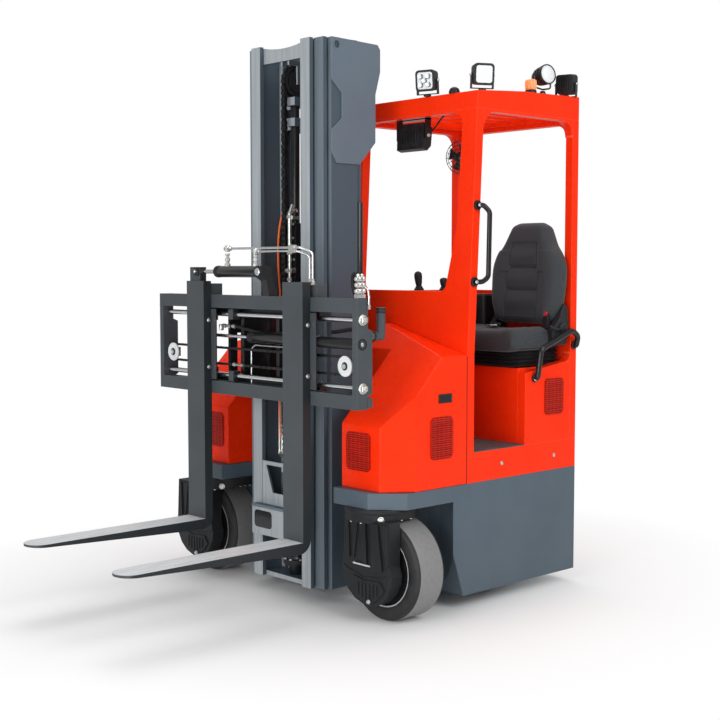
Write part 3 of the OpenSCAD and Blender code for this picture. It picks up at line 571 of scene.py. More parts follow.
FINISHES = {
    # The red's pale edge colour is mostly a painted highlight along the edges, with some wear
    "red": Paint("#F9330B", "#F32D07", 0.28, 0.04, 0.0001, "#FF8A6C", 0.4, 0.1),
    "red_dark": PerforatedSheet("#D0240F", "#5A0A05"),
    "chassis": Paint("#54616B", "#4D5A64", 0.4, 0.0, 0.00015, "#8A959D", 0.2),
    # The mast paints' pale front faces are partly a painted highlight, stronger on the inner stage
    "mast": RolledSteel("#45525C", "#828C94"),
    "mast_inner": RolledSteel("#45525C", "#C2C7CA"),
    "plate": Paint("#606D78", "#5A6772", 0.36, 0.03, 0.00012, "#A9B2B8", 0.3),
    "frame": Paint("#484D51", "#404549", 0.42, 0.0, 0.0002, "#7E8488", 0.35),
    "fork": ForgedFork("#454A4E", "#3F4448", "#EDEFF0"),
    "cast": Paint("#1D1E20", "#2A2B2D", 0.5, 0.0, 0.0006, "#55585A", 0.3),
    "black": Paint("#17181A", "#1E1F21", 0.3, 0.35, 0.0001, "#5A5D60", 0.15),
    "chrome": BareMetal("#E2E4E6", "#9A9C9E", 0.1, (12, 700, 700), 0.25),
    "stainless": BareMetal("#D4D7D8", "#8D8F90", 0.22, (500, 500, 500), 0.3),
    "zinc": BareMetal("#D9DAD6", "#8A8B88", 0.3, (900, 900, 900), 0.4),
    "oily": BareMetal("#4A4A4C", "#151515", 0.34, (900, 900, 900), 0.7),
    "plastic": Moulding("#1B1C1E", "#35373A", 0.45),
    "rubber": Moulding("#151617", "#2E2F31", 0.6, 0.004, 0.00008),
    "sidewall": Moulding("#242425", "#3C3D3E", 0.5, 0.006, 0.00012),
    "tread": Tread("#7C7C7C", "#6A6A6A"),
    "cloth": Upholstery("#222528", "#3E444A"),
    "piping": Moulding("#141516", "#232426", 0.55),
    "white": Moulding("#D9DCDD", "#B4B8BA", 0.35),
    "band": Paint("#C4C8CA", "#9EA2A4", 0.3, 0.2, 0.0001),
    "orange": Moulding("#F06A2A", "#C95018", 0.4),
    "belt_red": Moulding("#D8262E", "#A81A20", 0.35),
    "amber": Lens("#FF8A12", 0.25, 0.35),
    "lens": Lens("#DDE2E5", 0.12, 0.15),
    "mat": DeckPlate("#2B2D2F", "#5E6163"),
}


class Palette:
    """Makes each finish once, when it is first asked for."""

    def __init__(self) -> None:
        """Starts with nothing made."""
        self._made: dict[str, bpy.types.Material] = {}

    def get(self, name: str) -> bpy.types.Material:
        """Returns the material of that name."""
        if name not in self._made:
            self._made[name] = FINISHES[name].make(f"{name}_{FINISHES[name].SURFACE}")
        return self._made[name]


# Mesh code


def spline(points: Sequence[Point], count: int = 8) -> list[Vector]:
    """Returns a smooth line through points, with count steps between each two."""
    p = [Vector(q) for q in points]
    p = [2 * p[0] - p[1], *p, 2 * p[-1] - p[-2]]
    line = []
    for a, b, c, d in zip(p, p[1:], p[2:], p[3:]):
        for i in range(count):
            t = i / count
            line.append(0.5 * ((2 * b) + (c - a) * t + (2 * a - 5 * b + 4 * c - d) * t * t
                               + (3 * b - a - 3 * c + d) * t**3))
    return [*line, p[-2]]


def filleted(points: Sequence[Point], radius: float, count: int = 6) -> list[Vector]:
    """Returns a line of straight runs whose corners are bent to radius."""
    p = [Vector(q) for q in points]
    line = [p[0]]
    for a, b, c in zip(p, p[1:], p[2:]):
        back, on = (a - b).normalized(), (c - b).normalized()
        half = back.angle(on) / 2
        reach = min(radius / math.tan(half), (a - b).length / 2, (c - b).length / 2)
        start, end = b + back * reach, b + on * reach
        for i in range(count + 1):
            t = i / count
            line.append(start.lerp(b, t).lerp(b.lerp(end, t), t))
    return [*line, p[-1]]


def rounded_rect(u0: float, v0: float, u1: float, v1: float, r: float, steps: int = 5) -> list[Point]:
    """Returns the outline of a rectangle with round corners."""
    outline = []
    for cx, cy, turn in ((u1 - r, v1 - r, 0), (u0 + r, v1 - r, 1), (u0 + r, v0 + r, 2),
            (u1 - r, v0 + r, 3)):
        for i in range(steps + 1):
            angle = (turn + i / steps) * math.pi / 2
            outline.append((cx + r * math.cos(angle), cy + r * math.sin(angle)))
    return outline


class Shape:
    """A mesh under construction, with a finish for each part that is added."""

    def __init__(self, finish: str) -> None:
        """Starts an empty mesh whose parts have that finish."""
        self.mesh = bmesh.new()
        self.finishes = [finish]
        self.slot = 0

    def using(self, finish: str) -> Shape:
        """Gives what is added next another finish."""
        if finish not in self.finishes:
            self.finishes.append(finish)
        self.slot = self.finishes.index(finish)
        return self

    def _face(self, verts: Sequence[bmesh.types.BMVert]) -> None:
        """Adds one face, unless the mesh has it already."""
        try:
            self.mesh.faces.new(verts).material_index = self.slot
        except ValueError:
            LOG.debug("a face was already there")

    def _skin(self, rings: Sequence[Sequence[Vector]], closed: bool, caps: bool) -> Shape:
        """Joins rings of points, each to the next one."""
        made = [[self.mesh.verts.new(p) for p in ring] for ring in rings]
        count = len(made[0])
        pairs = list(zip(made, made[1:]))
        if closed:
            pairs.append((made[-1], made[0]))
        for a, b in pairs:
            for i in range(count):
                j = (i + 1) % count
                self._face((a[i], a[j], b[j], b[i]))
        if caps:
            self._face(made[0][::-1])
            self._face(made[-1])
        return self

    def prism(self, outline: Sequence[Point], axis: Axis, a: float, b: float, taper: float = 0.0) -> Shape:
        """Adds an outline drawn across an axis and carried from a to b along it.

        Args:
            outline: Points in the plane across the axis.
            axis: Axis that the outline is carried along.
            a: Where it starts.
            b: Where it ends.
            taper: How far the far end is drawn in towards the outline's middle.
        """
        cu = sum(p[0] for p in outline) / len(outline)
        cv = sum(p[1] for p in outline) / len(outline)

        def drawn_in(p: Point) -> Point:
            """Returns p moved towards the middle by the taper."""
            d = math.hypot(p[0] - cu, p[1] - cv)
            k = 1 - taper / d if d > taper else 0.1
            return (cu + (p[0] - cu) * k, cv + (p[1] - cv) * k)

        far = [drawn_in(p) for p in outline] if taper else outline
        return self._skin([[axis.place(a, *p) for p in outline], [axis.place(b, *p) for p in far]],
                          False, True)

    def block(self, low: Point, high: Point, radius: float = 0.0) -> Shape:
        """Adds a block between two corners, its edges along Y rounded if radius is given."""
        if radius:
            return self.prism(rounded_rect(low[0], low[2], high[0], high[2], radius), Axis.Y, low[1],
                high[1])
        outline = [(low[0], low[2]), (high[0], low[2]), (high[0], high[2]), (low[0], high[2])]
        return self.prism(outline, Axis.Y, low[1], high[1])

    def lathe(self, profile: Sequence[Point], at: Point, axis: Point, steps: int = 48,
            caps: bool = True) -> Shape:
        """Adds a turned form.

        Args:
            profile: Radius and distance along the axis of each point.
            at: Where the axis starts.
            axis: Direction of the axis.
            steps: Number of steps round it.
            caps: Whether its ends are closed.
        """
        turn = Vector((0, 0, 1)).rotation_difference(Vector(axis)).to_matrix()
        rings = []
        for r, h in profile:
            rings.append([Vector(at) + turn @ Vector((max(r, 1e-5) * math.cos(2 * math.pi * i / steps),
                                                      max(r, 1e-5) * math.sin(2 * math.pi * i / steps), h))
                          for i in range(steps)])
        return self._skin(rings, False, caps)

    def tube(self, line: Sequence[Point], radius: float, steps: int = 14) -> Shape:
        """Adds a round tube along a line."""
        p = [Vector(q) for q in line]
        ways = [(b - a).normalized() for a, b in zip(p, p[1:])]
        ways = [ways[0], *[(a + b).normalized() for a, b in zip(ways, ways[1:])], ways[-1]]
        side = ways[0].orthogonal().normalized()
        rings = []
        for point, way in zip(p, ways):
            side = (side - way * side.dot(way)).normalized()
            other = way.cross(side)
            rings.append([point + radius * (side * math.cos(2 * math.pi * i / steps)
                                            + other * math.sin(2 * math.pi * i / steps))
                          for i in range(steps)])
        return self._skin(rings, False, True)

    def bolt(self, at: Point, axis: Point, size: float, washer: bool = True, stud: float = 0.0) -> Shape:
        """Adds a hexagon head or nut, size across its corners, with a washer and a stud's end."""
        r = size / 2
        base = 0.0
        if washer:
            self.lathe([(r * 1.22, 0), (r * 1.26, r * 0.06), (r * 1.26, r * 0.2), (r * 1.2, r * 0.26)], at,
                axis, 24)
            base = r * 0.26
        self.lathe([(r, base), (r, base + r * 0.62), (r * 0.88, base + r * 0.74)], at, axis, 6)
        if stud:
            self.lathe([(r * 0.5, base), (r * 0.5, base + r * 0.74 + stud * 0.8),
                (r * 0.4, base + r * 0.74 + stud)], at, axis, 16)
        return self

    def build(self, name: str, palette: Palette, bevel: float = 0.0, smooth: float = 38.0,
              subdivide: int = 0) -> bpy.types.Object:
        """Makes the object.

        Args:
            name: Name of the piece.
            palette: Where its finishes come from.
            bevel: Width of the broken edges.
            smooth: Angle in degrees above which an edge stays sharp.
            subdivide: Levels of subdivision.

        Returns:
            The new object, in the row frame.
        """
        bmesh.ops.recalc_face_normals(self.mesh, faces=self.mesh.faces[:])
        limit = math.radians(smooth)
        for face in self.mesh.faces:
            face.smooth = True
        for edge in self.mesh.edges:
            edge.smooth = len(edge.link_faces) == 2 and edge.calc_face_angle(0.0) < limit
        data = bpy.data.meshes.new(name)
        self.mesh.to_mesh(data)
        self.mesh.free()
        for finish in self.finishes:
            data.materials.append(palette.get(finish))
        obj = bpy.data.objects.new(name, data)
        bpy.context.scene.collection.objects.link(obj)
        if bevel:
            break_edges(obj, bevel)
        if subdivide:
            obj.modifiers.new("finer", "SUBSURF").levels = subdivide
            obj.modifiers["finer"].render_levels = subdivide
        return obj


def break_edges(obj: bpy.types.Object, width: float, segments: int = 2) -> None:
    """Rounds an object's sharp edges by width with a modifier."""
    bevel = obj.modifiers.new("edges", "BEVEL")
    bevel.width = width
    bevel.segments = segments
    bevel.limit_method = "ANGLE"
    bevel.angle_limit = math.radians(32)
    bevel.harden_normals = True
    bevel.use_clamp_overlap = True


# CAD solids


@dataclass(frozen=True)
class Dress:
    """How a CAD node is shown.

    Attributes:
        finish: Its finish.
        edge: Width of its broken edges, in metres.
    """

    finish: str
    edge: float = 0.0


CAD_DRESS = {
    "chassis_frame": Dress("chassis", 0.004),
    "pod_right": Dress("red", 0.005),
    "pod_left": Dress("red", 0.005),
    "grilles": Dress("red_dark", 0.0008),
    "hatch_handles": Dress("black", 0.0015),
    "lower_body": Dress("red", 0.0015),
    "battery_hood": Dress("red", 0.005),
    "battery_block": Dress("plastic"),
    "cab_floor": Dress("mat"),
    "seat_base": Dress("red", 0.0015),
    "cab_front_wall": Dress("red", 0.0015),
    "cab_rear_wall": Dress("red", 0.0015),
    "cab_left_wall": Dress("red", 0.0015),
    "cab_right_side": Dress("red", 0.0015),
    "roof_frame": Dress("red", 0.0025),
    "outer_mast": Dress("mast", 0.003),
    "mast_side_plates": Dress("plate", 0.0025),
    "lift_barrels": Dress("black", 0.0015),
    "mid_mast": Dress("mast", 0.003),
    "inner_mast": Dress("mast_inner", 0.003),
    "centre_cylinder": Dress("black", 0.002),
    "carriage_base": Dress("black", 0.002),
    "shift_frame": Dress("frame", 0.002),
    "guide_rods": Dress("chrome"),
    "positioner_barrels": Dress("black", 0.0015),
    "fork_left": Dress("fork", 0.002),
    "fork_right": Dress("fork", 0.002),
    "fork_left_rods": Dress("chrome"),
    "steer_leg_right": Dress("cast", 0.003),
    "steer_leg_left": Dress("cast", 0.003),
    "steer_leg_rear": Dress("cast", 0.003),
}


class CadSolids:
    """The CAD nodes that stay in view."""

    def __init__(self, palette: Palette) -> None:
        """Takes the finishes from palette."""
        self.palette = palette

    def dress(self, nodes: dict[str, bpy.types.Object]) -> None:
        """Gives each listed node its finish and broken edges.

        Args:
            nodes: The CAD nodes by name.
        """
        for name, dress in CAD_DRESS.items():
            obj = nodes[name]
            material = self.palette.get(dress.finish)
            if obj.material_slots:
                for slot in obj.material_slots:
                    slot.material = material
            else:
                obj.data.materials.append(material)
            if dress.edge:
                weld = obj.modifiers.new("weld", "WELD")
                weld.merge_threshold = 1e-5
                flat = obj.modifiers.new("flat", "DECIMATE")
                flat.decimate_type = "DISSOLVE"
                flat.angle_limit = math.radians(0.6)
                break_edges(obj, dress.edge)


class Builder:
    """Places pieces: builds them, gives them their body and hides the CAD nodes that they stand for."""

    def __init__(self, palette: Palette) -> None:
        """Takes the finishes from palette."""
        self.palette = palette

    def add(self, name: str, shape: Shape, body: str, replaces: Iterable[str] = (),
            **options) -> bpy.types.Object:
        """Builds a shape as a piece.

        Args:
            name: Name of the piece.
            shape: Its mesh.
            body: CAD body that it rides on.
            replaces: CAD nodes that it stands for.
            **options: Passed on to Shape.build.

        Returns:
            The new piece.
        """
        shape.mesh.transform(Matrix.Translation((0, DATUM_Y, 0)))
        obj = shape.build(name, self.palette, **options)
        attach(obj, body)
        if replaces:
            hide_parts(*replaces)
        LOG.info("%s: %d faces on %s", name, len(obj.data.polygons), body)
        return obj


# Wheel units

WHEEL_R = 0.213


@dataclass(frozen=True)
class WheelUnit:
    """One steered wheel.

    Attributes:
        side: Name of the unit in the CAD nodes.
        king: X and Y of its kingpin.
        roll: X offset of the wheel from its kingpin.
    """

    side: str
    king: tuple[float, float]
    roll: float

    @property
    def centre(self) -> Vector:
        """Middle of the wheel."""
        return Vector((self.king[0] + self.roll, self.king[1] + 0.023, WHEEL_R))


UNITS = (
    WheelUnit("right", (0.545, 0.065), 0.065),
    WheelUnit("left", (-0.545, 0.065), -0.065),
    WheelUnit("rear", (0.0, 0.8075), 0.0),
)


@dataclass
class WheelUnits:
    """Tyres with their rims, and the castings and bolts of the gear legs."""

    builder: Builder
    radius: float = 0.213
    half: float = 0.081
    front: float = 0.125
    ring: float = 0.146

    def build(self) -> None:
        """Builds the three units."""
        for unit in UNITS:
            self._tyre(unit)
            self._leg(unit)

    def _tyre(self, unit: WheelUnit) -> None:
        """Builds the tyre, its steel band and the dished rim with its studs."""
        c = unit.centre
        at = (c.x, c.y - self.half, c.z)
        w = 2 * self.half
        wall = [(0.1545, 0.003), (0.158, 0.001), (0.175, 0.0), (0.196, 0.0015), (0.205, 0.005),
                (0.2105, 0.011), (0.2122, 0.017)]
        band = [(0.1545, 0.003), (0.149, 0.004), (0.1485, 0.008)]
        dish = [(0.1485, 0.008), (0.146, 0.03), (0.12, 0.034), (0.1, 0.031), (0.075, 0.031), (0.031, 0.034)]
        back = [(0.031, w - 0.05), (0.06, w - 0.05), (0.066, w - 0.028), (0.1, w - 0.028),
            (0.12, w - 0.034), (0.146, w - 0.03), (0.1485, w - 0.008)]
        far = [(r, w - h) for r, h in reversed(wall)]
        s = Shape("sidewall").lathe(wall, at, (0, 1, 0), 96, False)
        s.using("tread").lathe([wall[-1], (0.213, 0.022), (0.213, w - 0.022), far[0]], at, (0, 1, 0), 96,
            False)
        s.using("sidewall").lathe(far, at, (0, 1, 0), 96, False)
        s.using("band").lathe(band, at, (0, 1, 0), 96, False)
        s.lathe([(r, w - h) for r, h in band], at, (0, 1, 0), 96, False)
        s.using("cast").lathe([*dish, *back], at, (0, 1, 0), 96, False)
        bmesh.ops.remove_doubles(s.mesh, verts=s.mesh.verts[:], dist=1e-5)
        s.using("zinc")
        for i in range(8):
            angle = 2 * math.pi * i / 8
            p = (c.x + 0.085 * math.cos(angle), c.y + self.half - 0.03, c.z + 0.085 * math.sin(angle))
            s.bolt(p, (0, 1, 0), 0.02, stud=0.004)
        self.builder.add(f"tyre_{unit.side}", s, f"roll_{unit.side}", [f"wheel_{unit.side}"])

    def _leg(self, unit: WheelUnit) -> None:
        """Builds the ribs, flutes and bolts on the face of a gear leg and its turntable."""
        c = unit.centre
        kx, ky = unit.king
        front = ky - self.front
        s = Shape("cast")
        # Column ribs, the wedge between them and the groove at their left, X then Z about the wheel
        ribs = (
            ((-0.142, 0.421), (-0.124, 0.421), (-0.118, 0.262), (-0.128, 0.262), 0.009),
            ((-0.108, 0.421), (-0.07, 0.421), (-0.092, 0.262), (-0.098, 0.262), 0.006),
            ((-0.052, 0.421), (-0.02, 0.421), (-0.01, 0.238), (-0.026, 0.238), 0.012),
            ((0.014, 0.421), (0.052, 0.421), (0.078, 0.232), (0.016, 0.222), 0.01),
            ((0.066, 0.421), (0.108, 0.421), (0.11, 0.262), (0.1, 0.25), 0.005),
        )
        for *rib, rise in ribs:
            s.prism([(c.x + x, z) for x, z in rib], Axis.Y, front + 0.002, front - rise)
        # The lip where the column meets the gear case runs in a wave round its face
        wave = [(-0.16, 0.222), (-0.132, 0.208), (-0.085, 0.2), (-0.04, 0.186), (0.0, 0.194),
            (0.05, 0.196), (0.09, 0.206), (0.121, 0.222)]
        s.tube([(c.x + x, front - 0.001, z) for x, z in wave], 0.0042, 8)
        s.prism([(c.x + x, z) for x, z in ((-0.095, 0.188), (-0.03, 0.176), (0.06, 0.184), (0.088, 0.15),
            (0.06, 0.12), (0.018, 0.086), (-0.038, 0.086), (-0.082, 0.104))], Axis.Y, front + 0.002,
            front - 0.006)
        for i in range(6):
            x = c.x - 0.066 + i * 0.022
            s.block((x - 0.004, front - 0.011, 0.098 + 0.008 * abs(i - 2)),
                (x + 0.004, front - 0.004, 0.168))
        s.lathe([(0.154, 0.4725), (0.157, 0.466), (0.157, 0.458), (0.154, 0.452)], (kx, ky, 0), (0, 0, 1),
            72)
        s.using("zinc")
        for angle in (-38, -12, 12, 32, 63, 81, 103):
            a = math.radians(angle - 90)
            p = (kx + self.ring * math.cos(a), ky + self.ring * math.sin(a), 0.4195 if abs(angle) < 40
                else 0.432)
            s.bolt(p, (0, 0, -1), 0.012, False)
        s.bolt((kx + 0.112, ky - 0.108, 0.436), (0.72, -0.69, 0), 0.022)
        s.bolt((c.x + 0.004, front - 0.011, 0.094), (0, -1, 0), 0.016)
        s.using("band")
        s.block((c.x - 0.097, front - 0.014, 0.24), (c.x + 0.01, front - 0.008, 0.246))
        s.block((c.x - 0.097, front - 0.014, 0.24), (c.x - 0.09, front + 0.002, 0.246))
        self.builder.add(f"leg_casting_{unit.side}", s, f"steer_{unit.side}", bevel=0.0015)


# Driver seat


@dataclass(frozen=True)
class PadFrame:
    """Where a pad lies: its middle and the directions of its width, length and face."""

    origin: Vector
    across: Vector
    along: Vector
    face: Vector

    def point(self, u: float, v: float, w: float) -> Vector:
        """Returns the point u across, v along and w out of the pad's middle."""
        return self.origin + self.across * u + self.along * v + self.face * w


def pad_mesh(shape: Shape, frame: PadFrame, half: list[tuple[float, float]], front: float, back: float,
             relief: Callable[[float, float], float], counts: tuple[int, int] = (110, 120)) -> Shape:
    """Adds a crowned, closed pad.

    Args:
        shape: Mesh that it is added to.
        frame: Where it lies.
        half: Half width at each place along it, in rising order.
        front: Height of its face over its rim.
        back: Depth of its back under its rim.
        relief: Function of u and v that gives how far the face is raised there.
        counts: Number of steps across and along.
    """
    places = [Vector((v, w, 0)) for v, w in half]
    line = spline(places, 10)
    low, high = half[0][0], half[-1][0]

    def half_at(v: float) -> float:
        """Returns half the width of the pad at v along it."""
        for a, b in zip(line, line[1:]):
            if a.x <= v <= b.x:
                return a.y + (b.y - a.y) * (v - a.x) / max(b.x - a.x, 1e-9)
        return line[-1].y if v > high - 1e-6 else line[0].y

    nu, nv = counts
    sheets = []
    for side in (1, -1):
        rows = []
        for j in range(nv + 1):
            s = -math.cos(math.pi * j / nv)
            v = (low + high) / 2 + s * (high - low) / 2
            row = []
            for i in range(nu + 1):
                t = -math.cos(math.pi * i / nu)
                u = t * half_at(v)
                rim = max(0.0, 1 - abs(t) ** 7) ** 0.42 * max(0.0, 1 - abs(s) ** 12) ** 0.42
                depth = front if side > 0 else back
                w = side * depth * rim + (relief(u, v) * min(1.0, rim * 1.5) if side > 0 else 0.0)
                row.append(shape.mesh.verts.new(frame.point(u, v, w)))
            rows.append(row)
        sheets.append(rows)
        for a, b in zip(rows, rows[1:]):
            for i in range(nu):
                face = shape.mesh.faces.new((a[i], a[i + 1], b[i + 1], b[i]))
                face.material_index = shape.slot
    bmesh.ops.remove_doubles(shape.mesh, verts=shape.mesh.verts[:], dist=2e-4)
    return shape


def groove(distance: float, width: float, depth: float) -> float:
    """Returns the depth of a sewn groove at a distance from its middle."""
    return -depth * math.exp(-((distance / width) ** 2))


@dataclass
class Seat:
    """The sprung driver seat: bellows, cushion, backrest, belt and recliner."""

    builder: Builder
    middle: float = 0.472
    back_middle: float = 0.533
    lean: float = 5.0
    front: float = 0.748

    def build(self) -> None:
        """Builds the seat's pieces."""
        self._bellows()
        self._cushion()
        self._backrest()
        self._shell()
        self._belt()

    def _bellows(self) -> None:
        """Builds the rubber concertina under the cushion."""
        s = Shape("rubber")
        rings = []
        pleats = 5
        for i in range(pleats * 4 + 1):
            z = 1.0155 + 0.089 * i / (pleats * 4)
            inset = 0.011 * (0.5 + 0.5 * math.cos(2 * math.pi * i / 4))
            rings.append([Vector((u, v, z)) for u, v in
                          rounded_rect(self.middle - 0.225 + inset, 0.756 + inset,
                                       0.68 - inset, 1.081 - inset, 0.035)])
        s._skin(rings, False, True)
        self.builder.add("seat_bellows", s, Body.ROOT, ["seat_suspension"], bevel=0.0, smooth=60)

    def _cushion(self) -> None:
        """Builds the cushion, with raised thighs, a front roll and a sewn centre."""
        frame = PadFrame(Vector((self.middle, 0.876, 1.128)), Vector((1, 0, 0)), Vector((0, 1, 0)),
            Vector((0, 0, 1)))
        half = [(-0.152, 0.212), (-0.12, 0.23), (-0.04, 0.235), (0.06, 0.235), (0.12, 0.228), (0.144, 0.21)]

        def relief(u: float, v: float) -> float:
            """Returns how far the cover stands out, u across and v along."""
            bolster = 0.012 * max(0.0, min(1.0, (abs(u) - 0.13) / 0.06))
            dish = -0.006 * math.cos(min(1.0, abs(u) / 0.15) * math.pi / 2)
            seam = groove(abs(u) - 0.138 - 0.12 * max(0.0, v + 0.02), 0.0035, 0.005)
            roll = groove(v + 0.075 - 0.1 * u * u, 0.004, 0.005) if abs(u) < 0.138 else 0.0
            folds = 0.0012 * math.sin(u * 55 + 3 * math.sin(v * 40)) * max(0.0, 1 - abs(v) / 0.15)
            return bolster + dish + seam + roll + folds

        s = pad_mesh(Shape("cloth"), frame, half, 0.062, 0.044, relief)
        obj = self.builder.add("seat_cushion_pad", s, Body.ROOT, ["seat_cushion"], smooth=80)

    def _lean(self) -> PadFrame:
        """Returns the frame of the backrest, which leans back."""
        up = Vector((0, math.sin(math.radians(self.lean)), math.cos(math.radians(self.lean))))
        return PadFrame(Vector((self.back_middle, 1.033, 1.44)), Vector((1, 0, 0)), up,
            Vector((1, 0, 0)).cross(up) * 1.0)

    def _backrest(self) -> None:
        """Builds the backrest, with its side bolsters, sewn centre panel and tapered head."""
        frame = self._lean()
        face = frame.face if frame.face.y < 0 else -frame.face
        frame = PadFrame(frame.origin, frame.across, frame.along, face)
        half = [(-0.236, 0.13), (-0.21, 0.16), (-0.14, 0.19), (-0.06, 0.198), (0.02, 0.197), (0.08, 0.175),
            (0.13, 0.136), (0.18, 0.11), (0.212, 0.094), (0.232, 0.064)]

        def relief(u: float, v: float) -> float:
            """Returns how far the cover stands out, u across and v along."""
            wide = 0.082 + (0.012 if v < 0 else -0.08 * max(0.0, v - 0.02))
            inside = abs(u) < wide and -0.205 < v < 0.132
            bolster = 0.014 * max(0.0, min(1.0, (abs(u) - wide) / 0.045)) * (1.0 if v < 0.1 else 0.5)
            seam = groove(abs(u) - wide, 0.0035, 0.0065) if -0.205 < v < 0.137 else 0.0
            cap = groove(v - 0.134, 0.0035, 0.0065) if abs(u) < wide else 0.0
            channels = sum(groove(v - c, 0.007, 0.011) for c in (0.022, -0.082)) if inside else 0.0
            puff = 0.004 * math.cos((v + 0.03) * 60) if inside else 0.0
            return bolster + seam + cap + channels * min(1.0, (wide - abs(u)) / 0.01) + puff

        s = pad_mesh(Shape("cloth"), frame, half, 0.058, 0.056, relief, (130, 170))
        obj = self.builder.add("seat_back_pad", s, Body.ROOT, ["seat_back"], smooth=80)

    def _shell(self) -> None:
        """Builds the plastic tray, the recliner covers and their lever."""
        s = Shape("plastic")
        s.prism(rounded_rect(self.middle - 0.226, self.front, self.middle + 0.226, 1.055, 0.04), Axis.Z,
            1.1, 1.114)
        for x in (self.back_middle - 0.2, self.back_middle + 0.168):
            s.prism([(0.955, 1.112), (1.055, 1.112), (1.072, 1.2), (1.062, 1.285), (1.035, 1.3),
                (1.005, 1.235), (0.962, 1.185)], Axis.X, x, x + 0.03)
            s.lathe([(0.026, 0), (0.026, 0.006), (0.02, 0.01)], (x + 0.03, 1.03, 1.19), (1, 0, 0), 32)
        s.tube(spline([(self.back_middle + 0.2, 1.03, 1.19), (self.back_middle + 0.205, 0.98, 1.185),
                       (self.back_middle + 0.203, 0.93, 1.2)]), 0.007)
        self.builder.add("seat_shell", s, Body.ROOT, bevel=0.003)

    def _belt(self) -> None:
        """Builds the buckle and the folded belt."""
        s = Shape("plastic")
        x = self.back_middle + 0.15
        s.block((x - 0.006, 0.962, 1.12), (x + 0.006, 0.976, 1.2), 0.003)
        s.block((x - 0.016, 0.958, 1.184), (x + 0.014, 0.98, 1.258), 0.006)
        s.using("belt_red").block((x - 0.013, 0.956, 1.246), (x + 0.011, 0.982, 1.264), 0.004)
        s.using("rubber")
        strap = spline([(0.39, 0.96, 1.2), (0.4, 0.94, 1.206), (0.435, 0.9, 1.2), (0.462, 0.87, 1.199)], 6)
        rings = []
        for a, b in zip(strap, strap[1:] + [2 * strap[-1] - strap[-2]]):
            way = (b - a).normalized()
            side = way.cross(Vector((0, 0, 1))).normalized() * 0.022
            lift = Vector((0, 0, 0.0012))
            rings.append([a + side + lift, a - side + lift, a - side - lift, a + side - lift])
        s._skin(rings, False, True)
        s.using("zinc")
        s.prism([(0.44, 0.885), (0.482, 0.862), (0.466, 0.832), (0.424, 0.855)], Axis.Z, 1.198, 1.2015)
        s.using("plastic").prism([(0.425, 0.93), (0.467, 0.906), (0.45, 0.876), (0.408, 0.9)], Axis.Z,
            1.197, 1.208)
        self.builder.add("seat_belt", s, Body.ROOT, bevel=0.001)


# Cab fittings


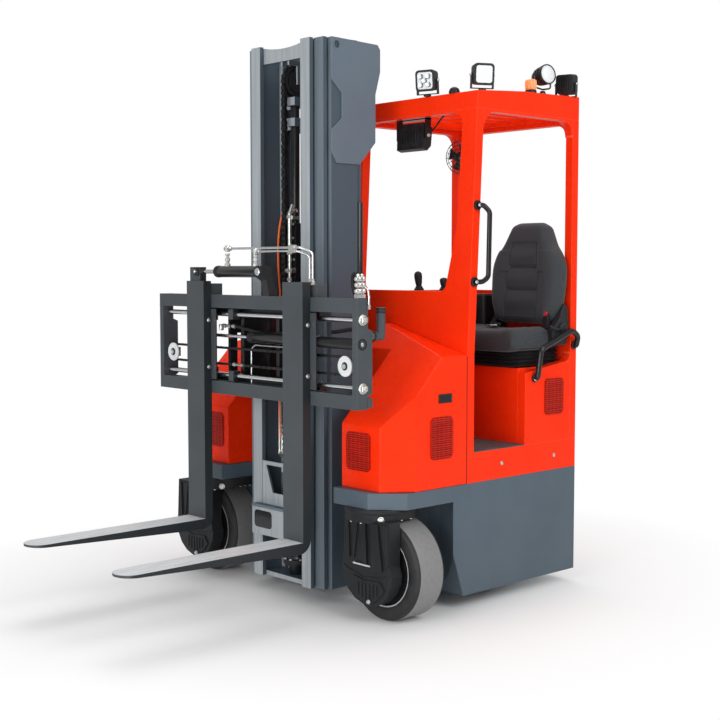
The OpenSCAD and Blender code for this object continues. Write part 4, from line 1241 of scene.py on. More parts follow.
@dataclass
class CabFittings:
    """Hand rails, console, lamps, beacon, fan and the panel joints of the cab."""

    builder: Builder
    side: float = 0.7255
    rail: float = 0.0128
    handle: float = 0.0108
    lamp: float = 0.046

    def build(self) -> None:
        """Builds the fittings."""
        self._handle()
        self._side_rail()
        self._console()
        self._lamps()
        self._spot()
        self._beacon()
        self._ceiling()
        self._fan()
        self._joints()

    def _handle(self) -> None:
        """Builds the grab handle on the front pillar."""
        s = Shape("black")
        x = 0.731
        y0, y1 = 0.434, 0.45
        line = filleted([(x + 0.004, y0, 1.404), (x + 0.024, y0 + 0.02, 1.404),
            (x + 0.036, y0 + 0.044, 1.424), (x + 0.036, y1 + 0.034, 1.7), (x + 0.022, y1 + 0.01, 1.728),
            (x + 0.004, y1 - 0.004, 1.728)], 0.03, 8)
        s.tube(line, self.handle, 18)
        for y, z in ((y0, 1.404), (y1, 1.728)):
            s.lathe([(0.021, 0), (0.021, 0.007), (0.018, 0.01)], (self.side, y, z), (1, 0, 0), 32)
        s.using("zinc")
        for y, z in ((y0, 1.404), (y1, 1.728)):
            s.lathe([(0.0075, 0), (0.0075, 0.004), (0.005, 0.006)], (0.744, y - 0.004, z), (1, -0.3, 0), 20)
        self.builder.add("grab_handle", s, Body.ROOT, ["entry_handle"])

    def _side_rail(self) -> None:
        """Builds the bent rail beside the seat."""
        s = Shape("black")
        y0, y1 = 0.8375, 1.1155
        line = filleted([(0.729, y0, 0.971), (0.745, y0, 0.974), (0.755, y0 + 0.01, 1.1),
            (0.759, y1 - 0.052, 1.179), (0.755, y1 - 0.004, 1.15), (0.742, y1, 1.107), (0.729, y1, 1.107)],
            0.035, 8)
        s.tube(line, self.rail, 18)
        for y, z in ((y0, 0.971), (y1, 1.107)):
            s.lathe([(0.019, 0), (0.019, 0.007), (0.016, 0.01)], (self.side, y, z), (1, 0, 0), 32)
        s.using("zinc").lathe([(0.007, 0), (0.007, 0.004), (0.005, 0.006)], (0.7355, y0 - 0.004, 0.965),
            (1, -0.4, 0), 20)
        self.builder.add("seat_rail", s, Body.ROOT, ["side_rail"])

    def _console(self) -> None:
        """Builds the console beside the seat with its levers, dash and armrest."""
        s = Shape("plastic")
        s.prism(rounded_rect(0.078, 0.628, 0.228, 0.772, 0.018), Axis.Z, 0.679, 1.345, 0.004)
        s.prism(rounded_rect(0.146, 0.74, 0.228, 1.0, 0.02), Axis.Z, 1.2, 1.34, 0.006)
        s.prism(rounded_rect(0.14, 0.76, 0.234, 1.002, 0.022), Axis.Z, 1.336, 1.35, 0.006)
        s.prism(rounded_rect(0.2, 0.96, 0.31, 1.08, 0.014), Axis.Z, 1.195, 1.33, 0.004)
        s.prism(rounded_rect(0.208, 0.968, 0.302, 1.072, 0.01), Axis.Z, 1.33, 1.338, 0.003)
        s.using("stainless").prism(rounded_rect(0.092, 0.64, 0.214, 0.732, 0.012), Axis.Z, 1.345, 1.3475)
        s.using("rubber")
        for x, y, top in ((0.133, 0.7, 1.45), (0.24, 0.76, 1.42)):
            boot = [(0.03, 0.0), (0.028, 0.01), (0.022, 0.014), (0.024, 0.018), (0.017, 0.024),
                (0.018, 0.028), (0.01, 0.034)]
            s.lathe(boot, (x, y, 1.346), (0, 0, 1), 32)
            grip = [(0.009, 0.0), (0.013, 0.008), (0.017, 0.03), (0.019, 0.052), (0.018, 0.066),
                (0.012, 0.074), (0.002, 0.078)]
            s.lathe([(r, h * (top - 1.372) / 0.078) for r, h in grip], (x, y, 1.37), (0, -0.12, 1), 28)
        self.builder.add("console", s, Body.ROOT, ["control_console"], bevel=0.003)

    def _square_lamp(self, s: Shape, at: Point, turn: float, tip: float, leds: bool, foot: float) -> None:
        """Adds one square work lamp.

        Args:
            s: Mesh that it is added to.
            at: Middle of its housing.
            turn: Its heading in degrees, 0 facing -Y and 90 facing +X.
            tip: How far it looks down, in degrees.
            leds: Whether the reflectors show through the lens.
            foot: Height of what it stands on.
        """
        local = Shape(s.finishes[0])
        local.finishes = s.finishes
        r = self.lamp

        def finish(name: str) -> None:
            """Sets the finish of what follows."""
            local.using(name)

        finish("plastic")
        local.prism(rounded_rect(-r, -r, r, r, 0.016), Axis.Y, -0.02, 0.022, 0.005)
        local.prism(rounded_rect(-r, -r, r, r, 0.016), Axis.Y, -0.026, -0.02)
        for i in range(-4, 5):
            local.block((i * 0.009 - 0.0016, 0.01, -0.036), (i * 0.009 + 0.0016, 0.026, 0.036))
        finish("lens")
        local.prism(rounded_rect(-r + 0.01, -r + 0.01, r - 0.01, r - 0.01, 0.011), Axis.Y, -0.0275, -0.024)
        if leds:
            for u, v in ((-0.018, -0.018), (0.018, -0.018), (-0.018, 0.018), (0.018, 0.018), (0, 0)):
                finish("chrome")
                local.lathe([(0.013, 0.0), (0.0125, 0.003), (0.006, 0.0006), (0.001, 0.0004)],
                    (u, -0.0275, v), (0, -1, 0), 24)
                finish("white")
                local.lathe([(0.004, 0.0), (0.0035, 0.0016), (0.001, 0.002)], (u, -0.0276, v), (0, -1, 0),
                    16)
        finish("black")
        for side in (-1, 1):
            local.block((side * (r + 0.003) - 0.002, -0.01, -r - 0.012),
                (side * (r + 0.003) + 0.002, 0.008, 0.006))
            finish("zinc")
            local.bolt((side * (r + 0.005), -0.001, 0.0), (side, 0, 0), 0.011)
            finish("black")
        local.block((-r - 0.005, -0.01, -r - 0.014), (r + 0.005, 0.008, -r - 0.01))
        rot = Matrix.Rotation(math.radians(turn), 4, "Z") @ Matrix.Rotation(math.radians(tip), 4, "X")
        local.mesh.transform(Matrix.Translation(Vector(at)) @ rot)
        data = bpy.data.meshes.new("lamp_part")
        local.mesh.to_mesh(data)
        s.mesh.from_mesh(data)
        bpy.data.meshes.remove(data)
        local.mesh.free()
        s.using("black").lathe([(0.017, 0.0), (0.017, 0.006), (0.011, 0.01),
            (0.008, at[2] - 0.058 - foot)], (at[0], at[1], foot), (0, 0, 1), 24)

    def _lamps(self) -> None:
        """Builds the square work lamps round the guard."""
        s = Shape("plastic")
        self._square_lamp(s, (0.427, 0.452, 2.279), 18, 6, True, 2.211)
        self._square_lamp(s, (0.686, 0.52, 2.284), 62, 4, False, 2.215)
        self._square_lamp(s, (0.684, 1.092, 2.298), 196, 0, True, 2.238)
        s.using("plastic").lathe([(0.024, 0), (0.024, 0.008), (0.019, 0.02), (0.008, 0.027),
            (0.001, 0.028)], (0.575, 0.466, 2.211), (0, 0, 1), 32)
        self.builder.add("work_lamps", s, Body.ROOT, ["lamps"], bevel=0.0012)

    def _spot(self) -> None:
        """Builds the round spotlight with its stirrup."""
        s = Shape("black")
        at, way = Vector((0.622, 0.945, 2.314)), Vector((0.97, -0.18, 0.12)).normalized()
        s.lathe([(0.008, -0.002), (0.02, 0.0), (0.03, 0.012), (0.038, 0.036), (0.0405, 0.06),
            (0.0415, 0.074), (0.045, 0.078), (0.045, 0.092), (0.0415, 0.095), (0.0405, 0.09)], at, way, 48)
        for h, r in ((0.03, 0.0365), (0.044, 0.0392), (0.058, 0.0405)):
            s.lathe([(r, h), (r + 0.0022, h + 0.0015), (r + 0.0022, h + 0.004), (r, h + 0.0055)], at, way,
                48)
        s.using("lens").lathe([(0.041, 0.089), (0.034, 0.096), (0.016, 0.101), (0.001, 0.102)], at, way, 48)
        s.using("black")
        mid = at + way * 0.055
        side = way.cross(Vector((0, 0, 1))).normalized()
        for k in (-1, 1):
            s.tube(filleted([mid + side * k * 0.045, mid + side * k * 0.045 - Vector((0, 0, 0.052)),
                             mid - Vector((0, 0, 0.06))], 0.012), 0.004, 8)
        s.lathe([(0.016, 0), (0.016, 0.008), (0.01, 0.02)], (mid.x, mid.y, 2.234), (0, 0, 1), 24)
        self.builder.add("spotlight", s, Body.ROOT, bevel=0.0)

    def _beacon(self) -> None:
        """Builds the amber beacon with its fluted dome."""
        s = Shape("plastic")
        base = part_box("beacon")[0]
        at = (0.695, 0.83, base.z + 0.001)
        s.lathe([(0.026, 0), (0.026, 0.01), (0.022, 0.014)], at, (0, 0, 1), 40)
        s.using("amber")
        rings = []
        for r, h in ((0.02, 0.014), (0.0245, 0.018), (0.0255, 0.03), (0.0255, 0.048), (0.023, 0.056),
                (0.016, 0.06), (0.001, 0.061)):
            rings.append([Vector((at[0] + r * (1 + 0.035 * math.cos(14 * a)) * math.cos(a),
                                  at[1] + r * (1 + 0.035 * math.cos(14 * a)) * math.sin(a), at[2] + h))
                          for a in (2 * math.pi * i / 112 for i in range(112))])
        s._skin(rings, False, True)
        s.using("white").lathe([(0.008, 0.016), (0.01, 0.045), (0.001, 0.05)], at, (0, 0, 1), 20)
        self.builder.add("beacon_lamp", s, Body.ROOT, ["beacon"], smooth=50)

    def _ceiling(self) -> None:
        """Builds the black unit under the front beam with its bracket."""
        s = Shape("plastic")
        s.prism([(0.512, 2.112), (0.568, 2.092), (0.56, 2.01), (0.536, 1.988), (0.508, 1.996)], Axis.X,
            0.178, 0.345)
        s.prism(rounded_rect(0.198, 2.006, 0.326, 2.094, 0.01), Axis.Y, 0.504, 0.513)
        for i in range(6):
            s.block((0.212 + i * 0.018, 0.5, 2.02), (0.22 + i * 0.018, 0.505, 2.08))
        s.using("black")
        for x in (0.168, 0.348):
            s.block((x, 0.516, 2.04), (x + 0.006, 0.55, 2.132))
        s.block((0.168, 0.508, 2.124), (0.354, 0.552, 2.1345))
        s.using("zinc")
        for x, way in ((0.167, -1), (0.355, 1)):
            s.bolt((x, 0.533, 2.055), (way, 0, 0), 0.014)
        s.using("rubber").tube(spline([(0.3, 0.56, 2.06), (0.345, 0.575, 2.085), (0.4, 0.56, 2.118),
            (0.46, 0.52, 2.128)]), 0.004, 8)
        self.builder.add("ceiling_lamp_unit", s, Body.ROOT, ["ceiling_unit"], bevel=0.002)

    def _fan(self) -> None:
        """Builds the small caged fan in the rear corner."""
        s = Shape("black")
        at, way = Vector((0.1, 1.02, 2.0)), Vector((0.25, -1, -0.1)).normalized()
        for r, h in ((0.082, 0.0), (0.074, 0.016), (0.058, 0.026), (0.04, 0.031), (0.022, 0.033)):
            ring = [(r + 0.0016 * math.cos(a), h + 0.0016 * math.sin(a))
                for a in (2 * math.pi * i / 6 for i in range(7))]
            s.lathe(ring, at, way, 48, False)
        side = way.orthogonal().normalized()
        other = way.cross(side)
        for i in range(16):
            a = 2 * math.pi * i / 16
            out = side * math.cos(a) + other * math.sin(a)
            s.tube(spline([at + out * 0.082, at + out * 0.07 + way * 0.02, at + out * 0.02 + way * 0.034],
                4), 0.0013, 6)
        s.lathe([(0.018, 0.03), (0.018, 0.037), (0.012, 0.04)], at, way, 24)
        s.lathe([(0.03, -0.04), (0.032, -0.03), (0.03, 0.0), (0.01, 0.004)], at, way, 28)
        for i in range(4):
            a = 2 * math.pi * i / 4
            b = a + 0.9
            tip = [side * math.cos(t) * 0.068 + other * math.sin(t) * 0.068 for t in (a, b)]
            root = [side * math.cos(t) * 0.014 + other * math.sin(t) * 0.014 for t in (a, b)]
            ring = [at + root[0] + way * 0.004, at + tip[0] + way * 0.012, at + tip[1] + way * 0.004,
                at + root[1] + way * 0.001]
            s._skin([ring, [p - way * 0.002 for p in ring]], False, True)
        s.tube(filleted([at - way * 0.035, at - way * 0.05, (0.085, 1.092, 1.96)], 0.012), 0.008, 10)
        self.builder.add("cab_fan", s, Body.ROOT)

    def _joints(self) -> None:
        """Builds the dark joints between the body's panels, and the washers of its bolts."""
        s = Shape("rubber")
        s.block((0.7246, 0.3955, 0.545), (0.7256, 0.3972, 1.09))
        s.block((0.4, 0.396, 0.5425), (0.7252, 0.397, 0.544))
        s.using("zinc")
        for y in (0.62, 0.98):
            s.lathe([(0.009, 0), (0.009, 0.003), (0.006, 0.005)], (0.725, y, 0.61), (1, 0, 0), 20)
        self.builder.add("panel_joints", s, Body.ROOT)


# Mast


def chain(shape: Shape, nodes: Sequence[Vector], pin: Vector, rows: Sequence[Sequence[float]], half: float,
          thick: float, pin_r: float, reach: float) -> Shape:
    """Adds a chain: a plate on each side of every link, or more, and a pin at each joint.

    Args:
        shape: Mesh that it is added to.
        nodes: Middles of the pins.
        pin: Direction of the pins.
        rows: Where the plates of even and of odd links lie along the pin.
        half: Half height of a plate.
        thick: Thickness of a plate.
        pin_r: Radius of the pins or rollers.
        reach: Half length of the pins.
    """
    for i, (a, b) in enumerate(zip(nodes, nodes[1:])):
        way = (b - a).normalized()
        up = pin.cross(way)
        middle, length = (a + b) / 2, (b - a).length / 2
        outline = []
        for end in (1, -1):
            for k in range(7):
                t = math.pi * (k / 6 - 0.5)
                outline.append((end * (length + half * math.cos(t)), end * half * math.sin(t)))
            outline.append((0.0, end * half * 0.72))
        for row in rows[i % len(rows)]:
            rings = [[middle + way * u + up * v + pin * (row + side * thick / 2) for u, v in outline]
                     for side in (-1, 1)]
            shape._skin(rings, False, True)
    for node in nodes:
        shape.lathe([(pin_r, 0), (pin_r, 2 * reach)], node - pin * reach, pin, 10)
    return shape


def along(line: Sequence[Vector], pitch: float) -> list[Vector]:
    """Returns points on a line, pitch apart."""
    points, left = [line[0]], pitch
    for a, b in zip(line, line[1:]):
        run = (b - a).length
        while run >= left:
            a = a.lerp(b, left / run)
            points.append(a)
            run -= left
            left = pitch
        left -= run
    return points


def arc(centre: Point, radius: float, u: Point, v: Point, start: float, end: float,
        count: int = 12) -> list[Vector]:
    """Returns points on an arc in the plane of u and v, between two angles in degrees."""
    c, u, v = Vector(centre), Vector(u), Vector(v)
    angles = [math.radians(start + (end - start) * i / count) for i in range(count + 1)]
    return [c + radius * (u * math.cos(a) + v * math.sin(a)) for a in angles]


@dataclass
class Mast:
    """The lift chain with its sheave, the hoses between the rails, and the fittings of the stages."""

    builder: Builder
    sheave_y: float = 0.06
    sheave_z: float = 2.282
    chain_y: float = -0.0075
    cylinder_y: float = 0.054
    plate_x: float = 0.2755

    def build(self) -> None:
        """Builds the mast's pieces."""
        self._lift_chain()
        self._hoses()
        self._foot()
        self._cylinders()
        self._plates()

    def _lift_chain(self) -> None:
        """Builds the leaf chain, its sheave and its anchor."""
        s = Shape("oily")
        x = Vector((1, 0, 0))
        strand = [Vector((0, self.chain_y, 0.6)), Vector((0, self.chain_y, self.sheave_z))]
        over = arc((0, self.sheave_y, self.sheave_z), 0.0675, (0, 1, 0), (0, 0, 1), 180, 0, 20)
        line = along([*strand, *over[1:], Vector((0, 0.1275, 2.2135))], 0.0254)
        rows = ((-0.0105, -0.0035, 0.0035, 0.0105), (-0.007, 0.0, 0.007))
        chain(s, line, x, rows, 0.0098, 0.0026, 0.0042, 0.0125)
        s.using("cast")
        s.lathe([(0.022, -0.016), (0.05, -0.01), (0.0505, -0.006), (0.058, -0.0145), (0.07, -0.0145),
            (0.07, -0.013), (0.0565, -0.0125), (0.0565, 0.0125), (0.07, 0.013), (0.07, 0.0145),
            (0.058, 0.0145), (0.0505, 0.006), (0.05, 0.01), (0.022, 0.016)],
            (0, self.sheave_y, self.sheave_z), (1, 0, 0), 64)
        for side in (-1, 1):
            s.using("oily").lathe([(0.021, 0.0), (0.021, 0.0185), (0.017, 0.0195)],
                (0, self.sheave_y, self.sheave_z), (side, 0, 0), 32)
            s.using("zinc").lathe([(0.0115, 0.018), (0.0115, 0.0215), (0.009, 0.023)],
                (0, self.sheave_y, self.sheave_z), (side, 0, 0), 24)
        s.using("zinc")
        s.lathe([(0.008, 0.0), (0.008, 0.045)], (0, 0.1275, 2.175), (0, 0, 1), 16)
        s.bolt((0, 0.1275, 2.212), (0, 0, 1), 0.024)
        s.lathe([(0.011, 0), (0.011, 0.05), (0.006, 0.06)], (0, self.chain_y, 0.593), (0, 0, 1), 16)
        self.builder.add("leaf_chain", s, Body.INNER, ["lift_chain"])

    def _hoses(self) -> None:
        """Builds the steel pipes and hose ends between the inner rails."""
        s = Shape("zinc")
        pipe = 0.0065
        s.tube(filleted([(0.03, 0.012, 1.74), (0.03, -0.004, 1.7), (0.03, -0.004, 1.375),
            (0.03, 0.01, 1.36)], 0.02), 0.0085, 16)
        for z in (1.68, 1.52, 1.405):
            s.lathe([(0.0085, 0), (0.0125, 0.002), (0.0125, 0.014), (0.0085, 0.016)], (0.03, -0.004, z),
                (0, 0, 1), 6)
        s.block((-0.012, -0.004, 1.676), (0.052, 0.03, 1.69))
        s.block((0.004, -0.01, 1.44), (0.05, 0.014, 1.462), 0.004)
        s.bolt((0.014, -0.01, 1.451), (0, -1, 0), 0.012)
        s.bolt((0.042, -0.01, 1.451), (0, -1, 0), 0.012)
        for x in (-0.078, -0.062):
            s.tube([(x, 0.02, 0.64), (x, 0.02, 1.29)], pipe * 0.75, 10)
        s.tube(filleted([(-0.078, 0.02, 0.645), (-0.078, 0.018, 0.622), (-0.04, 0.012, 0.612),
            (-0.03, 0.01, 0.64), (-0.03, 0.01, 0.69)], 0.014), pipe * 0.75, 10)
        s.tube(filleted([(-0.062, 0.02, 0.645), (-0.062, 0.016, 0.632), (-0.046, 0.012, 0.626),
            (-0.043, 0.01, 0.65), (-0.043, 0.01, 0.72)], 0.01), pipe * 0.75, 10)
        for x, z in ((-0.03, 0.69), (-0.043, 0.716)):
            for k in range(3):
                s.lathe([(0.006, 0), (0.01, 0.002), (0.01, 0.012), (0.006, 0.014)],
                    (x, 0.01, z + k * 0.018), (0, 0, 1), 6)
        s.using("rubber")
        for i, (x, y) in enumerate(((-0.028, 0.006), (-0.046, 0.014))):
            s.tube(spline([(x - 0.002, y, 0.74 + 0.02 * i), (x - 0.006, y + 0.004, 0.95),
                (x, y + 0.008, 1.15), (x - 0.004, y + 0.006, 1.3)]), 0.0062, 10)
        s.using("orange").tube(spline([(-0.052, 0.004, 0.7), (-0.054, 0.002, 0.95), (-0.05, 0.004, 1.2),
            (-0.052, 0.006, 1.44)]), 0.0042, 10)
        self.builder.add("mast_pipes", s, Body.INNER)
        h = Shape("rubber")
        for i in range(4):
            d = 0.013 * i
            line = spline([(-0.04 - 0.4 * d, 0.0 + d, 1.33), (-0.05 - 0.5 * d, -0.004 + d, 1.48),
                (-0.052 - 0.4 * d, 0.0 + d, 1.6), (-0.034 - 0.2 * d, 0.004 + d, 1.69 + 0.2 * d),
                (-0.006, 0.012 + d * 0.8, 1.712 + 0.3 * d)])
            if i == 0:
                h.using("orange").tube(line, 0.0048, 10)
                h.using("rubber")
            else:
                h.tube(line, 0.0068, 12)
        h.using("zinc")
        for i in range(3):
            h.lathe([(0.007, 0), (0.0105, 0.002), (0.0105, 0.018), (0.007, 0.02)],
                    (-0.02 + i * 0.011, 0.016 + i * 0.012, 1.706 + 0.004 * i), (0.9, 0.2, 0.15), 6)
        self.builder.add("mast_hoses", h, Body.INNER)

    def _foot(self) -> None:
        """Builds the details of the cross plate and of the box at the foot of the inner stage."""
        s = Shape("plate")
        s.prism([(-0.168, 0.398), (0.168, 0.398), (0.168, 0.386), (-0.168, 0.386)], Axis.Y, -0.067, -0.0715)
        s.using("black")
        s.prism(rounded_rect(-0.152, 0.294, -0.028, 0.372, 0.018), Axis.Y, -0.0655, -0.0685)
        s.prism(rounded_rect(-0.146, 0.3, -0.034, 0.366, 0.014), Axis.Y, -0.06, -0.057)
        s.using("zinc")
        for i, x in enumerate((-0.132, -0.112, -0.08, -0.066, -0.052)):
            s.lathe([(0.006, 0), (0.006, 0.006), (0.004, 0.008)], (x, -0.06, 0.333 + 0.01 * (i % 2)),
                (0, -1, 0), 14)
            s.block((x - 0.0045, -0.0625, 0.306), (x + 0.0045, -0.06, 0.326))
        self.builder.add("mast_foot_box", s, Body.INNER, bevel=0.0012)

    def _cylinders(self) -> None:
        """Builds the glands and clamps of the centre cylinder."""
        s = Shape("zinc")
        s.lathe([(0.034, 0), (0.0365, 0.003), (0.0365, 0.02), (0.034, 0.023)], (0, self.cylinder_y, 1.33),
            (0, 0, 1), 48)
        s.using("cast")
        s.lathe([(0.034, 0.0), (0.045, 0.004), (0.045, 0.026), (0.034, 0.03)], (0, self.cylinder_y, 0.22),
            (0, 0, 1), 48)
        s.lathe([(0.0475, 0), (0.058, 0.003), (0.06, 0.012), (0.058, 0.024), (0.0475, 0.028)],
            (0, self.cylinder_y, 0.128), (0, 0, 1), 48)
        s.using("zinc")
        for a in (200, 250, 290, 340):
            p = (0.052 * math.cos(math.radians(a)), 0.054 + 0.052 * math.sin(math.radians(a)), 0.152)
            s.bolt(p, (0, 0, 1), 0.014)
        s.lathe([(0.01, 0), (0.01, 0.018), (0.007, 0.024)], (0.045, 0.01, 0.19), (0.3, -0.9, 0.25), 6)
        s.using("black")
        for x, z in ((-0.038, 1.64), (-0.038, 1.56), (0.018, 1.64), (0.018, 1.56), (0.018, 1.47),
                (0.03, 1.42)):
            s.block((x, 0.006, z - 0.03), (x + 0.022, 0.0145, z + 0.004), 0.003)
        s.using("zinc")
        for x, z in ((0.029, 1.655), (0.029, 1.595), (0.029, 1.54), (0.036, 1.5), (-0.028, 1.6)):
            s.bolt((x, 0.014, z), (0, -1, 0), 0.011)
        self.builder.add("cylinder_fittings", s, Body.INNER, bevel=0.0008)

    def _plates(self) -> None:
        """Builds the bushes of the lifting holes in the side plates of the outer stage."""
        s = Shape("plate")
        for side in (-1, 1):
            s.lathe([(0.0163, 0), (0.0163, 0.003), (0.0196, 0.003), (0.02, 0.0025), (0.02, 0),
                (0.0163, 0)], (side * self.plate_x, 0.056, 2.41), (side, 0, 0), 40, False)
        self.builder.add("plate_fittings", s, Body.ROOT)


# Carriage


@dataclass
class Carriage:
    """The chain, hoses, nuts and fittings of the fork positioner."""

    builder: Builder
    front: float = -0.2067
    rods: float = -0.1782
    frame_x: float = 0.678
    sprocket_x: float = 0.604
    sprocket_z: float = 1.071
    top_y: float = -0.222
    top_z: float = 1.447

    def build(self) -> None:
        """Builds the carriage's pieces."""
        self._chain()
        self._nuts()
        self._pipes()
        self._valves()
        self._barrels()

    def _chain(self) -> None:
        """Builds the roller chain, its sprockets and their white discs."""
        s = Shape("oily")
        y = -0.1822
        ring = arc((self.sprocket_x, y, self.sprocket_z), 0.036, (0, 0, 1), (1, 0, 0), 0, 180, 16)
        back = arc((-self.sprocket_x, y, self.sprocket_z), 0.036, (0, 0, -1), (-1, 0, 0), 0, 180, 16)
        loop = [*ring, *back, ring[0]]
        total = sum((b - a).length for a, b in zip(loop, loop[1:]))
        links = 2 * round(total / 0.0175 / 2)
        nodes = along(loop, total / links)[:links]
        nodes.append(nodes[0])
        chain(s, nodes, Vector((0, 1, 0)), ((-0.0036, 0.0036), (-0.0022, 0.0022)), 0.0058, 0.0012, 0.0036,
            0.0044)
        for side in (-1, 1):
            at = (side * self.sprocket_x, y, self.sprocket_z)
            teeth = []
            for i in range(13 * 6):
                a = 2 * math.pi * i / (13 * 6)
                r = 0.0335 + 0.0035 * math.cos(13 * a)
                teeth.append((at[0] + r * math.cos(a), at[2] + r * math.sin(a)))
            s.using("oily").prism(teeth, Axis.Y, y - 0.0014, y + 0.0014)
            s.using("white")
            s.lathe([(0.0415, 0), (0.042, 0.001), (0.042, 0.0065), (0.0405, 0.008), (0.022, 0.0085),
                (0.018, 0.007), (0.016, 0.007)], (at[0], -0.1868, at[2]), (0, -1, 0), 56)
            s.using("cast").lathe([(0.017, 0), (0.017, 0.0085), (0.0135, 0.0115)], (at[0], -0.1868, at[2]),
                (0, -1, 0), 32)
            s.using("zinc").lathe([(0.0105, 0.009), (0.0105, 0.0125), (0.0075, 0.0135), (0.006, 0.012),
                (0.001, 0.012)], (at[0], -0.1868, at[2]), (0, -1, 0), 28)
        s.using("zinc")
        for x, z in ((-0.15, 1.035), (0.305, 1.107)):
            s.lathe([(0.004, 0), (0.009, 0.002), (0.009, 0.016), (0.0055, 0.018), (0.0055, 0.06),
                (0.009, 0.062), (0.009, 0.074), (0.004, 0.076)], (x, y, z), (1, 0, 0), 6)
        self.builder.add("roller_chain", s, Body.POSITIONER, ["positioner_chain"])

    def _nuts(self) -> None:
        """Builds the nuts on the guide rods' ends and the end plates' screws."""
        s = Shape("zinc")
        for side in (-1, 1):
            for z in (0.986, 1.258):
                s.bolt((side * 0.692, self.rods, z), (side, 0, 0), 0.036, stud=0.007)
        s.using("black")
        s.lathe([(0.023, 0), (0.023, 0.0015), (0.017, 0.0015), (0.015, -0.004), (0.001, -0.004)],
            (0.692, self.rods, 1.161), (1, 0, 0), 40)
        s.using("zinc").lathe([(0.0085, -0.004), (0.0085, 0.001), (0.006, 0.002)],
            (0.692, self.rods, 1.161), (1, 0, 0), 6)
        s.using("frame")
        for side in (-1, 1):
            x = side * self.frame_x
            s.block((x - 0.0145, -0.2085, 1.2895), (x + 0.0145, -0.206, 1.2915))
            s.block((x - 0.018, -0.15, 0.906), (x + 0.018, -0.126, 0.946), 0.004)
        s.using("zinc")
        for x in (0.335, 0.395, -0.335, -0.395):
            s.bolt((x, -0.186, 1.3935), (0, 0, 1), 0.014)
        self.builder.add("frame_nuts", s, Body.POSITIONER, bevel=0.0)

    def _pipes(self) -> None:
        """Builds the bent steel pipes, their fittings, and the hoses behind the frame."""
        s = Shape("stainless")
        for x, high, far in ((-0.134, 1.547, 0.391), (0.067, 1.533, 0.372)):
            line = filleted([(x, self.top_y, high), (far - 0.03, self.top_y, high),
                (far, self.rods, high - 0.02), (far, self.rods, 1.394)], 0.022)
            s.tube(line, 0.0052, 12)
        s.using("zinc")
        for x, high in ((-0.134, 1.547), (0.067, 1.533)):
            s.lathe([(0.013, 0), (0.013, 0.012), (0.008, 0.014), (0.008, 0.02), (0.011, 0.022),
                (0.011, 0.036), (0.0075, 0.038), (0.0075, 0.046), (0.0105, 0.048),
                (0.0105, high - 1.471 - 0.02)], (x, self.top_y, 1.47), (0, 0, 1), 8)
            s.lathe([(0.0095, -0.014), (0.012, -0.01), (0.012, 0.01), (0.0095, 0.014)],
                (x, self.top_y, high), (0, 0, 1), 8)
            s.lathe([(0.0065, 0.01), (0.0095, 0.012), (0.0095, 0.026), (0.0055, 0.028)],
                (x, self.top_y, high), (1, 0, 0), 6)
            s.lathe([(0.009, 0.01), (0.009, 0.018), (0.006, 0.02)], (x, self.top_y, high), (-1, 0, 0), 6)
        for x, y, z in ((0.372, self.rods, 1.394), (0.391, self.rods, 1.394)):
            s.lathe([(0.011, 0), (0.011, 0.014), (0.007, 0.018), (0.007, 0.026)], (x, y, z), (0, 0, 1), 6)
        s.block((0.3, -0.23, 1.524), (0.332, -0.214, 1.558), 0.004)
        s.using("stainless")
        s.tube(filleted([(0.296, -0.15, 1.126), (-0.03, -0.15, 1.126), (-0.06, -0.15, 1.11),
            (-0.06, -0.15, 0.93)], 0.03), 0.0048, 10)
        s.using("zinc")
        for x in (-0.23, -0.196, -0.16):
            s.lathe([(0.006, 0), (0.0095, 0.002), (0.0095, 0.02), (0.006, 0.022)], (x, self.rods, 1.206),
                (1, 0, -0.06), 6)
        s.lathe([(0.011, 0), (0.011, 0.024), (0.008, 0.028)], (-0.243, self.rods, 1.184), (0, 0, 1), 8)
        s.using("rubber")
        s.tube(spline([(-0.14, -0.166, 1.204), (-0.06, -0.164, 1.192), (0.06, -0.158, 1.178),
            (0.16, -0.15, 1.186), (0.3, -0.15, 1.2)]), 0.0068, 12)
        s.tube(spline([(0.455, -0.126, 1.2), (0.5, -0.126, 1.205), (0.56, -0.128, 1.214),
            (0.59, -0.13, 1.216)]), 0.0085, 12)
        s.using("zinc")
        s.lathe([(0.0085, 0), (0.012, 0.002), (0.012, 0.024), (0.0085, 0.026), (0.0085, 0.034),
            (0.011, 0.036), (0.011, 0.07)], (0.59, -0.13, 1.216), (1, 0, 0.04), 8)
        self.builder.add("hydraulic_pipes", s, Body.POSITIONER)

